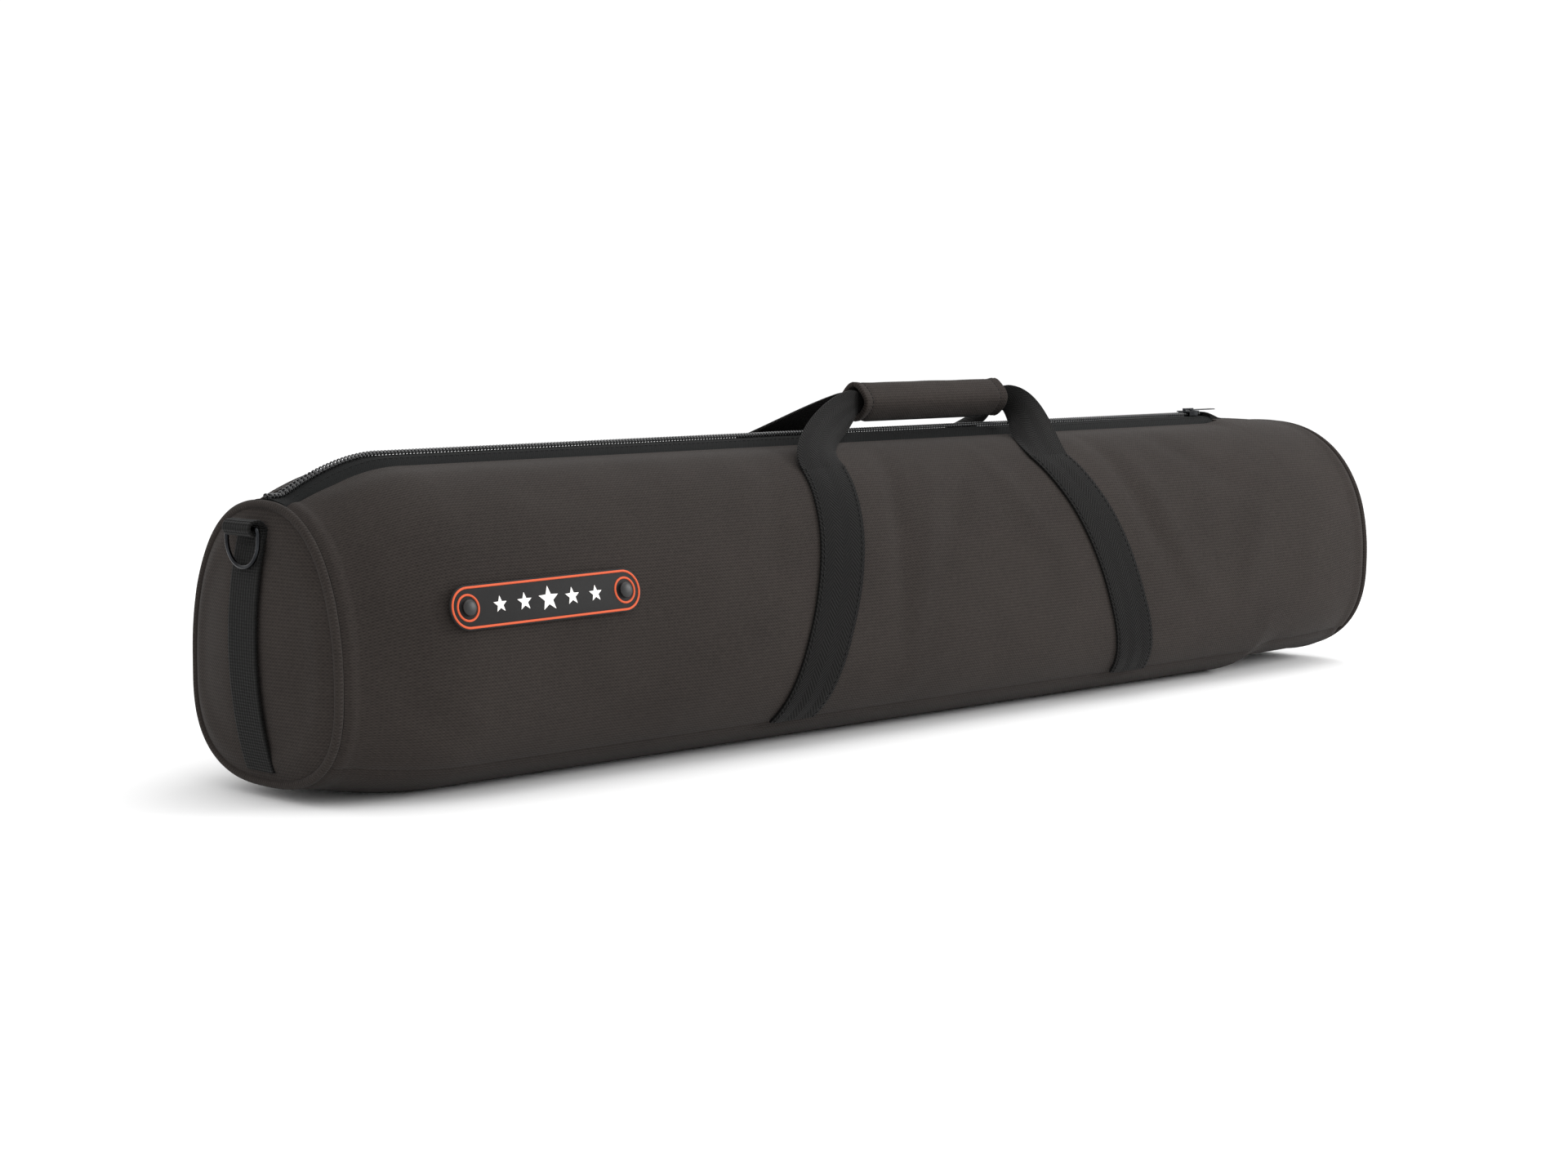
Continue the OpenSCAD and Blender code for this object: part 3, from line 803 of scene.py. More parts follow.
@dataclass(frozen=True)
class Form:
    """The case's outer surface, with the swell of its padding; angles are 90 on top and 180 in front."""

    near_x: float
    far_x: float
    mid: Section = Section(0.117, -0.003, 0.088, 0.226)
    near: Section = Section(0.087, 0.008, 0.080, 0.203)
    far: Section = Section(0.112, 0.006, 0.098, 0.221)
    top_n: float = 2.3
    low_n: float = 2.6
    band: float = 0.012
    near_run: float = 0.094
    far_run: float = 0.102
    low_start: float = 0.416
    low_end: float = 0.451
    seam_z: float = 0.021
    zip_stop: float = 0.457
    folds: tuple[Fold, ...] = (
        Fold(-0.054, 0.165, 0.070, 0.010, 72, -0.0022),
        Fold(-0.027, 0.150, 0.080, 0.012, 64, 0.0016),
        Fold(0.031, 0.185, 0.050, 0.010, 40, -0.0014),
        Fold(0.096, 0.170, 0.055, 0.012, 120, 0.0012),
        Fold(-0.009, 0.070, 0.090, 0.016, 30, 0.0010),
        Fold(0.241, 0.165, 0.075, 0.012, 110, -0.0018),
        Fold(0.281, 0.135, 0.070, 0.014, 118, 0.0014),
        Fold(0.351, 0.190, 0.080, 0.012, 150, -0.0012),
        Fold(0.391, 0.120, 0.060, 0.016, 60, 0.0010),
        Fold(-0.179, 0.180, 0.060, 0.012, 60, -0.0014),
        Fold(-0.239, 0.080, 0.100, 0.020, 25, 0.0012),
        Fold(-0.339, 0.190, 0.100, 0.012, 172, -0.0010),
        Fold(-0.389, 0.060, 0.080, 0.016, 155, -0.0012),
        Fold(-0.509, 0.060, 0.050, 0.010, 140, -0.0018),
        Fold(-0.514, 0.170, 0.050, 0.010, 30, -0.0014),
    )

    def section(self, x: float) -> Section:
        """The section at a place along the case."""
        if x < 0:
            share = clamp01((x - self.near_x - self.band) / (self.near_run - self.band))
            return self.near.mix(self.mid, 1 - (1 - share) ** 1.9)
        rise = self.far_x - self.far_run
        share = clamp01((x - rise) / (self.far_x - self.band - rise)) ** 1.6
        low_share = math.sin(math.pi / 2 * clamp01((x - self.low_start) / (self.low_end - self.low_start)))
        ends = self.mid.mix(self.far, share)
        low = self.mid.low + (self.far.low - self.mid.low) * low_share
        return Section(ends.half, low, ends.widest, ends.high)

    def flat_point(self, s: Section, t: float, depth: float) -> tuple[float, float]:
        """Y and Z of a section's outline at an angle in degrees and a depth under the surface."""
        c, n = math.cos(math.radians(t)), math.sin(math.radians(t))
        power = 2 / (self.top_n if n >= 0 else self.low_n)
        h = (s.high if n >= 0 else s.widest) - (s.widest if n >= 0 else s.low) - depth
        return (s.half - depth) * spow(c, power), max(s.widest + h * spow(n, power), depth)

    def angle_at_y(self, s: Section, y: float) -> float:
        """The front half's angle at a distance from the middle line, on top."""
        return math.degrees(math.acos(-((y / s.half) ** (self.top_n / 2))))

    def angle_at_z(self, z: float) -> float:
        """The front half's angle at a height on the middle section, on either side of the widest place."""
        s = self.mid
        if z < s.widest:
            return 180 + math.degrees(math.asin(((s.widest - z) / (s.widest - s.low)) ** (self.low_n / 2)))
        return 180 - math.degrees(math.asin(((z - s.widest) / (s.high - s.widest)) ** (self.top_n / 2)))

    @property
    def seam_angle(self) -> float:
        """The angle of the seam between a wall and the base."""
        return self.angle_at_z(self.seam_z)

    def swell(self, x: float, t: float, side: int) -> float:
        """How far the padded cloth stands out from the plain form.

        Args:
            x: the place along the case.
            t: the outline's angle in degrees.
            side: -1 for the front and 1 for the rear.

        Returns:
            A distance in metres, negative in a crease.
        """
        from_near, from_far = x - self.near_x, self.far_x - x
        out = -0.0022 * math.exp(-(((from_near - 0.0014) / 0.0030) ** 2))
        out -= 0.0018 * math.exp(-(((from_far - 0.0014) / 0.0030) ** 2))
        out += 0.0012 * math.exp(-(((from_near - 0.0100) / 0.0060) ** 2))
        out += 0.0010 * math.exp(-(((from_far - 0.0100) / 0.0060) ** 2))
        seam = (t - self.seam_angle) * 2.6 * MM
        out -= 0.0016 * math.exp(-((seam / 0.0034) ** 2))
        inside = ease((from_near - 0.014) / 0.03) * ease((from_far - 0.014) / 0.03)
        below = ease((t - 98) / 22) * ease((self.seam_angle - t) / 14)
        if t <= self.seam_angle:
            soft = noise.noise(Vector((x * 7.0, t * 0.022, side * 3.0)))
            fine = noise.noise(Vector((x * 21.0, t * 0.06, 5.0 + side)))
            out += inside * below * (0.0013 * soft + 0.0005 * fine)
            _, z = self.flat_point(self.mid, t, 0)
            shift = 0.0 if side < 0 else 0.037
            out += inside * below * sum(f.at(x + shift, z) for f in self.folds)
        beside = max(0.0, -self.flat_point(self.mid, t, 0)[0]) if t < 180 else 1.0
        groove = math.exp(-(((beside - 0.026) / 0.014) ** 2))
        out -= 0.0026 * inside * groove * ease((self.zip_stop - x) / 0.02)
        return out

    def point(self, x: float, t: float, depth: float, side: int = -1) -> Vector:
        """A point of the case at a place along it, an angle, and a depth under its swollen surface."""
        y, z = self.flat_point(self.section(x), t, depth - self.swell(x, t, side))
        return Vector((x, y if side < 0 else -y, max(z, depth)))

    def arc_table(self) -> tuple[np.ndarray, np.ndarray]:
        """Angles of the front half and the outline's length from the top to each, on the middle section."""
        angles = np.linspace(90, 270, 721)
        flat = np.array([self.flat_point(self.mid, float(a), 0) for a in angles])
        steps = np.hypot(*np.diff(flat, axis=0).T)
        return angles, np.concatenate([[0.0], np.cumsum(steps)])


@dataclass(frozen=True)
class LegLine:
    """The centre line of one of the handle's legs, as it leans along the wall."""

    x_mid: float
    slope: float
    mid_z: float = 0.116
    top_z: float = 0.205

    def x_at(self, z: float) -> float:
        """Its place along the case at a height."""
        return self.x_mid + self.slope * (min(z, self.top_z) - self.mid_z)


NEAR_LEG = LegLine(-0.1347, 0.32)
FAR_LEG = LegLine(0.1966, -0.42)


def bend_with_wall(piece: bpy.types.Object, stretch: Stretch, side: Side) -> None:
    """Hangs a side's middle piece on the wall's moving body; an end piece only has its place baked in and
    hangs on no body.

    Args:
        piece: the finished piece.
        stretch: which length of the side it is.
        side: front or rear.
    """
    if stretch is Stretch.MIDDLE:
        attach(piece, side.body)
    elif stretch is Stretch.NEAR:
        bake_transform(piece)
    else:
        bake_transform(piece)


# ---------------------------------------------------------------- walls


@dataclass(frozen=True)
class Layer:
    """One layer of a wall, by its depth under the surface."""

    word: str
    depth: float
    thickness: float
    edge: float
    rows: int
    step: float
    slot: str


@dataclass
class Walls:
    """Both long sides with their three layers, each cut in three under the handle's legs."""

    form: Form
    finishes: Finishes
    outer: Layer = Layer("fabric", 0.0, 0.0012, 0.022, 64, 0.0052, "nylon_fabric")
    pad: Layer = Layer("padding", 0.0020, 0.0050, 0.0320, 26, 0.014, "foam")
    inner: Layer = Layer("lining", 0.0078, 0.0008, 0.0320, 30, 0.012, "lining_cloth")
    zip_end: float = 0.457

    def stations(self, stretch: Stretch, layer: Layer) -> list[float]:
        """Shares of the stretch's length where columns stand: closer together at the end seams."""
        if stretch is Stretch.MIDDLE:
            count = int(0.30 / layer.step)
            return [i / count for i in range(count + 1)]
        length = 0.43 if stretch is Stretch.NEAR else 0.36
        fine = 0.034 / length
        close = 22
        wide = int(length / layer.step)
        crowded = [fine * i / close for i in range(close)]
        shares = crowded + [fine + (1 - fine) * i / wide for i in range(wide + 1)]
        if stretch is Stretch.FAR:
            shares = [1 - s for s in reversed(shares)]
        return shares

    def ends_of(self, stretch: Stretch, z: float, layer: Layer) -> tuple[float, float]:
        """Where the stretch starts and ends, at a height."""
        inset = 0.0014 if layer is self.outer else 0.0070
        near_end, far_end = self.form.near_x + inset, self.form.far_x - inset
        if stretch is Stretch.NEAR:
            return near_end, NEAR_LEG.x_at(z)
        if stretch is Stretch.MIDDLE:
            return NEAR_LEG.x_at(z), FAR_LEG.x_at(z)
        return FAR_LEG.x_at(z), far_end

    def build(self, side: Side, stretch: Stretch, layer: Layer) -> bpy.types.Object:
        """Models one layer of one stretch.

        Args:
            side: front or rear.
            stretch: near, middle or far.
            layer: which layer.

        Returns:
            The finished piece.
        """
        form = self.form
        angles, lengths = form.arc_table()
        shares = self.stations(stretch, layer)
        columns = len(shares) - 1
        bottom = float(np.interp(form.seam_angle, angles, lengths))

        def place(u: float, v: float) -> Placed:
            """A point at a share along the stretch and a share down the side."""
            share = shares[round(u * columns)]
            guess = float(np.interp(v * bottom, lengths, angles))
            x0, x1 = self.ends_of(stretch, form.flat_point(form.mid, guess, 0)[1], layer)
            x = x0 + (x1 - x0) * share
            edge_y = layer.edge * (1 - ease((x - self.zip_end) / 0.006))
            top_t = form.angle_at_y(form.section(x), edge_y) if edge_y > 1e-6 else 90.0
            top = float(np.interp(top_t, angles, lengths))
            reach = top + (bottom - top) * v
            t = float(np.interp(reach, lengths, angles))
            x0, x1 = self.ends_of(stretch, form.flat_point(form.mid, t, 0)[1], layer)
            x = x0 + (x1 - x0) * share
            return form.point(x, t, layer.depth, side.value), x, reach

        piece = shaped_grid(f"{side.word}_wall_{layer.word}_{stretch.value}", columns, layer.rows, place)
        face_away(piece, Vector((0, 0, 0.11)))
        return piece

    def finish(self, piece: bpy.types.Object, layer: Layer, material: bpy.types.Material) -> None:
        """Gives a layer its thickness, inwards, and its cloth."""
        use_modifier(piece, "SOLIDIFY", thickness=layer.thickness, offset=-1.0)
        smooth(piece, 50)
        dress(piece, material)

    def make(self) -> None:
        """Builds and dresses every layer, and hangs the middle lengths on their walls."""
        materials = {
            "fabric": self.finishes.shell,
            "padding": self.finishes.foam,
            "lining": self.finishes.lining,
        }
        for side in Side:
            for layer in (self.outer, self.pad, self.inner):
                for stretch in Stretch:
                    piece = self.build(side, stretch, layer)
                    self.finish(piece, layer, materials[layer.word])
                    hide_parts(f"{side.word}_wall_{layer.word}")
                    if stretch is not Stretch.MIDDLE:
                        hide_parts(f"{stretch.value}_collar_{layer.word}")
                    bend_with_wall(piece, stretch, side)
                    log.info("%s: %d faces", piece.name, len(piece.data.polygons))


# ---------------------------------------------------------------- base


@dataclass
class Base:
    """The flat bottom between the two low seams, with its stiff board."""

    form: Form
    finishes: Finishes
    rows: int = 26

    def build(self, word: str, depth: float, thickness: float, columns: int) -> bpy.types.Object:
        """Models one layer of the base."""
        form = self.form
        angles, lengths = form.arc_table()
        first = float(np.interp(form.seam_angle, angles, lengths))
        half = float(lengths[-1]) - first
        x0, x1 = form.near_x + 0.0014, form.far_x - 0.0014

        def place(u: float, v: float) -> Placed:
            """A point at a share along the base and a share across it."""
            x = x0 + (x1 - x0) * u
            reach = (2 * half) * v
            near = min(reach, 2 * half - reach)
            t = float(np.interp(first + near, lengths, angles))
            return form.point(x, t, depth, -1 if v <= 0.5 else 1), x, reach

        piece = shaped_grid(f"base_{word}_cut", columns, self.rows, place)
        face_away(piece, Vector((0, 0, 0.11)))
        use_modifier(piece, "SOLIDIFY", thickness=thickness, offset=-1.0)
        smooth(piece, 50)
        return piece

    def make(self) -> None:
        """Builds the base's layers and dresses its board."""
        skin = dress(self.build("panel", 0.0, 0.0012, 260), self.finishes.shell)
        foam = dress(self.build("padding", 0.0017, 0.0030, 90), self.finishes.foam)
        lining = dress(self.build("lining", 0.0074, 0.0008, 90), self.finishes.lining)
        for piece, node in ((skin, "base_panel"), (foam, "base_padding"), (lining, "base_lining")):
            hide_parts(node)
            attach(piece, "case")
            log.info("%s: %d faces", piece.name, len(piece.data.polygons))
        recoat("base_board", self.finishes.board)


def recoat(node: str, material: bpy.types.Material) -> None:
    """Gives a node of the frame, whose shape stays, its real finish."""
    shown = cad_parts[node]
    shown.data.materials.clear()
    shown.data.materials.append(material)


# ---------------------------------------------------------------- ends


@dataclass
class CaseEnd:
    """One domed end: panel, padding, lining, piping cord, strap and D-ring."""

    end: End
    form: Form
    finishes: Finishes
    dome: float = 0.018
    inset: float = 0.0068
    piping_r: float = 0.0032
    strap_w: float = 0.032
    strap_t: float = 0.0018
    wire_r: float = 0.0015
    bow_r: float = 0.0185
    leg: float = 0.008
    bar_drop: float = 0.018
    strap_lift: float = 0.0009

    @property
    def section(self) -> Section:
        """The section that the panel closes."""
        return self.form.near if self.end is End.NEAR else self.form.far

    @property
    def x_end(self) -> float:
        """The plane of the end seam."""
        return self.form.near_x if self.end is End.NEAR else self.form.far_x

    def bulge(self, k: float) -> float:
        """How far the panel stands out at a share of the way to its rim."""
        return self.dome * max(0.0, 1 - min(k, 0.999) ** 2) ** 0.85

    def face(self, z: float) -> float:
        """How far the panel stands out on its middle line, at a height."""
        s = self.section
        k = abs(z - (s.low + s.high) / 2) / ((s.high - s.low) / 2)
        return self.bulge(min(k, 0.995))

    @property
    def bar_z(self) -> float:
        """Height of the D-ring's bar."""
        return self.section.high - self.bar_drop

    @property
    def bar_out(self) -> float:
        """How far out from the end seam the D-ring's bar is."""
        return self.face(self.bar_z - 0.026) + self.strap_lift + self.strap_t + self.wire_r + 0.001

    def layer(self, word: str, inset: float, depth: float, thickness: float, rings: int) -> bpy.types.Object:
        """Models one layer of the panel as a disc of cloth, drawn in a little under the strap.

        Args:
            word: the layer's name.
            inset: how far inside the section its rim lies.
            depth: its depth behind the domed face.
            thickness: how thick it is.
            rings: rings of faces from the middle to the rim.

        Returns:
            The piece.
        """
        s = self.section
        side = self.end.value
        middle_z = (s.low + s.high) / 2

        def place(u: float, v: float) -> Placed:
            """A point at a share round the panel and a share out from its middle."""
            k = math.sin(v * math.pi / 2) ** 0.9
            y, z = self.form.flat_point(s, 360 * u, inset)
            y, z = y * k, middle_z + (z - middle_z) * k
            soft = noise.noise(Vector((y * 14, z * 14, side * 2.0)))
            puff = 0.0022 * math.exp(-(((k - 0.86) / 0.10) ** 2)) + 0.0012 * soft * (1 - k**4)
            strap = -0.0012 * math.exp(-((y / 0.020) ** 4)) * (1 - k**6)
            out = self.bulge(k * (1 - inset / s.half)) - depth + puff + strap
            return Vector((self.x_end + side * out, y, z)), y, z

        piece = shaped_grid(f"{self.end.word}_end_{word}_disc", 96, rings, place, closed=True)
        for face in piece.data.polygons:
            if face.normal.x * side < 0:
                flip_faces(piece)
            break
        use_modifier(piece, "SOLIDIFY", thickness=thickness, offset=-1.0)
        smooth(piece, 50)
        return piece

    def piping(self) -> bpy.types.Object:
        """Models the covered cord in the rim's seam, slightly uneven as it is sewn."""
        side = self.end.value
        middle = self.x_end + side * 0.002
        count = 160
        path, out, up = [], [], []
        centre = Vector((middle, 0, (self.section.low + self.section.high) / 2))
        for i in range(count + 1):
            t = 360 * i / count
            y, z = self.form.flat_point(self.section, t, self.piping_r + 0.0001)
            here = Vector((middle, y, z))
            path.append(here + Vector((0.0004 * noise.noise(here * 30), 0, 0)))
            out.append((here - centre).normalized())
            up.append(Vector((1, 0, 0)))
        cord = tube(f"{self.end.word}_piping_cord", path, out, up, self.piping_r, self.piping_r, 14, True)
        smooth(cord, 80)
        return cord

    def strap_line(self) -> list[Vector]:
        """The strap's middle line in the plane of the case's length: up the panel and round the bar."""
        low_z = self.section.low + self.inset + 0.005
        lift = self.strap_lift + self.strap_t / 2 + 0.0003
        roll = self.wire_r + 0.0032
        points = []
        steps = 44
        top = self.bar_z - 0.008
        for i in range(steps + 1):
            z = low_z + (top - low_z) * i / steps
            points.append((self.face(z) + lift, z))
        join = self.face(self.bar_z) + lift
        points += [
            (join + 0.0002, self.bar_z - 0.004),
            (join + 0.0008, self.bar_z + 0.0002),
            (join + 0.0030, self.bar_z + 0.0034),
            (join + (self.bar_out - join) * 0.6, self.bar_z + roll + 0.0002),
        ]
        for i in range(13):
            a = math.radians(95 - 230 * i / 12)
            points.append((self.bar_out + roll * math.cos(a), self.bar_z + roll * math.sin(a)))
        points.append((join + 0.0042, self.bar_z - 0.0030))
        side = self.end.value
        return [Vector((self.x_end + side * p, 0, z)) for p, z in points]

    def strap(self) -> bpy.types.Object:
        """Models the ribbed strap with the rows that hold its loop."""
        line = self.strap_line()
        count = len(line) - 1
        reach = [0.0]
        for a, b in zip(line, line[1:]):
            reach.append(reach[-1] + (b - a).length)
        word = self.end.word

        def place(u: float, v: float) -> Placed:
            """A point at a share across the strap and a share along it."""
            i = round(v * count)
            y = (u - 0.5) * self.strap_w
            return line[i] + Vector((0, y, 0)), y, reach[i]

        piece = shaped_grid(f"{word}_end_strap_web", 12, count, place)
        side = self.end.value
        if piece.data.polygons[0].normal.x * side < 0:
            flip_faces(piece)
        use_modifier(piece, "SOLIDIFY", thickness=self.strap_t, offset=0.0)
        use_modifier(
            piece,
            "BEVEL",
            width=0.0005,
            segments=2,
            limit_method="ANGLE",
            angle_limit=math.radians(50),
        )
        smooth(piece, 50)
        dress(piece, self.finishes.ribbed)
        rows = []
        for k, z in enumerate((self.bar_z - 0.012, self.bar_z - 0.030)):
            out = self.face(z) + self.strap_lift + self.strap_t + 0.0004

            def route(share: float, out: float = out, z: float = z) -> tuple[Vector, Vector]:
                """A point of a row across the strap."""
                y = (share - 0.5) * (self.strap_w - 0.007)
                return Vector((self.x_end + side * out, y, z)), Vector((side, 0, 0))

            rows.append(
                stitch_row(f"{word}_strap_row_{k}", route, self.strap_w - 0.007, self.finishes.thread),
            )
        return join(piece, rows)

    def ring(self) -> bpy.types.Object:
        """Models the D-ring as one bent wire."""
        x = self.x_end + self.end.value * self.bar_out
        corner = 0.004
        flat: list[tuple[float, float]] = []
        for i in range(9):
            flat.append((-(self.bow_r - corner) + 2 * (self.bow_r - corner) * i / 8, 0.0))
        for i in range(1, 7):
            a = math.radians(90 - 15 * i)
            flat.append((self.bow_r - corner + corner * math.cos(a), -corner + corner * math.sin(a)))
        for i in range(37):
            a = math.radians(-5 * i)
            flat.append((self.bow_r * math.cos(a), -self.leg + self.bow_r * math.sin(a)))
        for i in range(7):
            a = math.radians(180 - 15 * i)
            flat.append((-(self.bow_r - corner) + corner * math.cos(a), -corner + corner * math.sin(a)))
        path = [Vector((x, y, self.bar_z + z)) for y, z in flat]
        out = []
        for i in range(len(path)):
            ahead = path[(i + 1) % (len(path) - 1)]
            behind = path[i - 1] if i else path[-2]
            out.append((ahead - behind).normalized().cross(Vector((1, 0, 0))))
        up = [Vector((1, 0, 0)) for _ in path]
        wire = tube(f"{self.end.word}_d_ring_wire", path, out, up, self.wire_r, self.wire_r, 14, True)
        smooth(wire, 80)
        return wire

    def make(self) -> None:
        """Builds and dresses the end."""
        word = self.end.word
        skin = dress(
            self.layer("panel", self.inset - 0.0022, 0.0, 0.0012, 34),
            self.finishes.shell,
        )
        foam = dress(self.layer("padding", 0.0088, 0.0018, 0.0050, 14), self.finishes.foam)
        lining = dress(self.layer("lining", 0.0088, 0.0076, 0.0008, 14), self.finishes.lining)
        cord = dress(self.piping(), self.finishes.shell)
        strap = self.strap()
        pairs = (
            (skin, "end_panel"),
            (foam, "end_padding"),
            (lining, "end_lining"),
            (cord, "piping"),
            (strap, "end_strap"),
        )
        for piece, node in pairs:
            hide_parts(f"{word}_{node}")
            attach(piece, "case")
            log.info("%s: %d faces", piece.name, len(piece.data.polygons))
        ring = dress(self.ring(), self.finishes.wire)
        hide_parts(f"{word}_d_ring")
        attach(ring, f"{word}_d_ring")
        if self.end is End.NEAR:
            self.bartack()

    def bartack(self) -> None:
        """The few orange stitches where the piping closes, under the near end."""
        low = self.section.low

        def route(share: float) -> tuple[Vector, Vector]:
            """A point of the short row under the piping."""
            return Vector((self.x_end + 0.003 + 0.006 * share, -0.002, low - 0.0004)), Vector((0, 0, -1))

        row = stitch_row("near_closing_stitches", route, 0.006, self.finishes.orange_thread, 0.002, 0.0006)
        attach(row, "case")


# ---------------------------------------------------------------- zip


@dataclass
class Zip:
    """Tapes, wound coils, end tab, stop, slider and pull along the top."""

    form: Form
    finishes: Finishes
    tent: float = 0.0026
    tuck: float = 0.0017
    end_x: float = 0.457
    gap: float = 0.0016
    coil_w: float = 0.0042
    coil_h: float = 0.0034
    pitch: float = 0.0030

    def cut(self, stretch: Stretch) -> tuple[float, float]:
        """Where a stretch of the zip starts and ends."""
        first = self.form.near_x + 0.002
        near_cut, far_cut = NEAR_LEG.x_at(1.0), FAR_LEG.x_at(1.0)
        spans = {
            Stretch.NEAR: (first, near_cut),
            Stretch.MIDDLE: (near_cut, far_cut),
            Stretch.FAR: (far_cut, self.end_x),
        }
        return spans[stretch]

    def rise(self, x: float) -> float:
        """How far the tapes stand up over the walls: less and less into the near end."""
        return self.tent * (0.15 + 0.85 * ease((x - self.form.near_x - 0.006) / 0.085))

    def tape_profile(self, x: float) -> list[tuple[float, float]]:
        """Distance from the middle line and height of the tape's upper face, from its hidden edge inwards."""
        s = self.form.section(x)

        def skin_z(y: float) -> float:
            """Height of the case's surface at a distance from the middle line."""
            return self.form.flat_point(s, self.form.angle_at_y(s, y), 0)[1]

        inner = s.high + self.rise(x)
        tuck = self.tuck + 0.0024 * self.rise(x) / self.tent
        return [
            (0.030, skin_z(0.030) - tuck),
            (0.0255, skin_z(0.0255) - tuck),
            (0.0212, skin_z(0.0212) - tuck + 0.0002),
            (0.0180, skin_z(0.0180) - tuck + 0.0014),
            (0.0115, inner - 0.0014),
            (0.0058, inner - 0.0003),
            (0.0030, inner),
            (0.0009, inner),
        ]

    def tape(self, side: Side, stretch: Stretch) -> bpy.types.Object:
        """Models one length of tape with its row of stitches."""
        x0, x1 = self.cut(stretch)
        columns = max(20, int((x1 - x0) / 0.006))

        def place(u: float, v: float) -> Placed:
            """A point at a share along the tape and a share across it."""
            x = x0 + (x1 - x0) * u
            y, z = self.tape_profile(x)[round(v * 7)]
            return Vector((x, side.value * y, z)), y, x

        piece = shaped_grid(f"{side.word}_zip_tape_{stretch.value}", columns, 7, place)
        if piece.data.polygons[0].normal.z < 0:
            flip_faces(piece)
        use_modifier(piece, "SOLIDIFY", thickness=0.0009, offset=-1.0)
        smooth(piece, 60)
        dress(piece, self.finishes.tape)

        def route(share: float) -> tuple[Vector, Vector]:
            """A point of the stitches beside the coil."""
            x = x0 + (x1 - x0) * share
            y, z = self.tape_profile(x)[4]
            return Vector((x, side.value * y, z)), Vector((0, 0, 1))

        row = stitch_row(f"{piece.name}_row", route, x1 - x0, self.finishes.thread, 0.0048, 0.0004)
        return join(piece, [row])

    def coil(self, side: Side, stretch: Stretch) -> bpy.types.Object:
        """Winds one length of coil from single turns."""
        x0, x1 = self.cut(stretch)
        if stretch is Stretch.FAR:
            x1 -= 0.0035
        deselect_all()
        bpy.ops.mesh.primitive_torus_add(
            major_segments=10,
            minor_segments=5,
            major_radius=1.0,
            minor_radius=0.46,
            rotation=(0, math.pi / 2, 0),
        )
        turn = take(f"{side.word}_turn")
        bpy.ops.object.transform_apply(location=False, rotation=True, scale=False)
        hold(turn)
        bpy.ops.object.mode_set(mode="EDIT")
        bpy.ops.mesh.select_all(action="SELECT")
        wide, tall = self.coil_w / 2 / 1.46, self.coil_h / 2 / 1.46
        bpy.ops.transform.resize(value=(0.0019, wide, tall))
        bpy.ops.object.mode_set(mode="OBJECT")
        phase = 0.0 if side is Side.FRONT else 0.5
        first = math.ceil(x0 / self.pitch - phase)
        last = math.floor((x1 - 0.0001) / self.pitch - phase)
        places = []
        for i in range(first, last + 1):
            x = (i + phase) * self.pitch
            s, ahead = self.form.section(x), self.form.section(x + 0.002)
            z = s.high + self.rise(x) + 0.0002 + self.coil_h / 2
            slope = math.atan2(ahead.high + self.rise(x + 0.002) - s.high - self.rise(x), 0.002)
            place = Matrix.Translation((x, side.value * (self.gap / 2 + self.coil_w / 2 - 0.0003), z))
            lean = Matrix.Rotation(-slope, 4, "Y") @ Matrix.Rotation(side.value * math.radians(16), 4, "Z")
            places.append(place @ lean)
        coil = copies(f"{side.word}_zip_coil_{stretch.value}", turn, places)
        smooth(coil, 80)
        return dress(coil, self.finishes.coil)

    def tab(self) -> bpy.types.Object:
        """The folded patch of webbing over the zip's far end."""
        deselect_all()
        bpy.ops.mesh.primitive_cube_add(size=1)
        piece = take("zip_end_patch")
        low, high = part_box("zip_end_tab")
        hold(piece)
        bpy.ops.object.mode_set(mode="EDIT")
        bpy.ops.mesh.subdivide(number_cuts=5)
        bpy.ops.object.mode_set(mode="OBJECT")
        for vertex in piece.data.vertices:
            share = vertex.co + Vector((0.5, 0.5, 0.5))
            x = low.x + (high.x - low.x) * share.x
            y = low.y + (high.y - low.y) * share.y
            surface = self.form.section(x).high + 0.0002
            crown = 0.0050 * (1 - ease((share.x - 0.1) / 0.85)) * (1 - 0.35 * abs(2 * share.y - 1) ** 3)
            z = surface + share.z * (0.0009 + crown) - 0.0008 * abs(2 * share.y - 1) ** 2
            vertex.co = (x, y, z)
        use_modifier(
            piece,
            "BEVEL",
            width=0.0006,
            segments=2,
            limit_method="ANGLE",
            angle_limit=math.radians(50),
        )
        smooth(piece, 50)
        return dress(piece, self.finishes.webbing)

    def make(self) -> None:
        """Builds and dresses the zip."""
        for side in Side:
            for stretch in Stretch:
                for piece, word in ((self.tape(side, stretch), "tape"), (self.coil(side, stretch), "coil")):
                    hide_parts(f"{side.word}_zip_{word}")
                    if stretch is not Stretch.MIDDLE:
                        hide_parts(f"{stretch.value}_zip_{word}s")
                    bend_with_wall(piece, stretch, side)
                    log.info("%s: %d faces", piece.name, len(piece.data.polygons))
        tab = self.tab()
        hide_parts("zip_end_tab")
        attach(tab, "case")
        recoat("zip_stops", self.finishes.cast)
        recoat("zip_slider", self.finishes.cast)
        recoat("zip_pull", self.finishes.cast)


# ---------------------------------------------------------------- handle


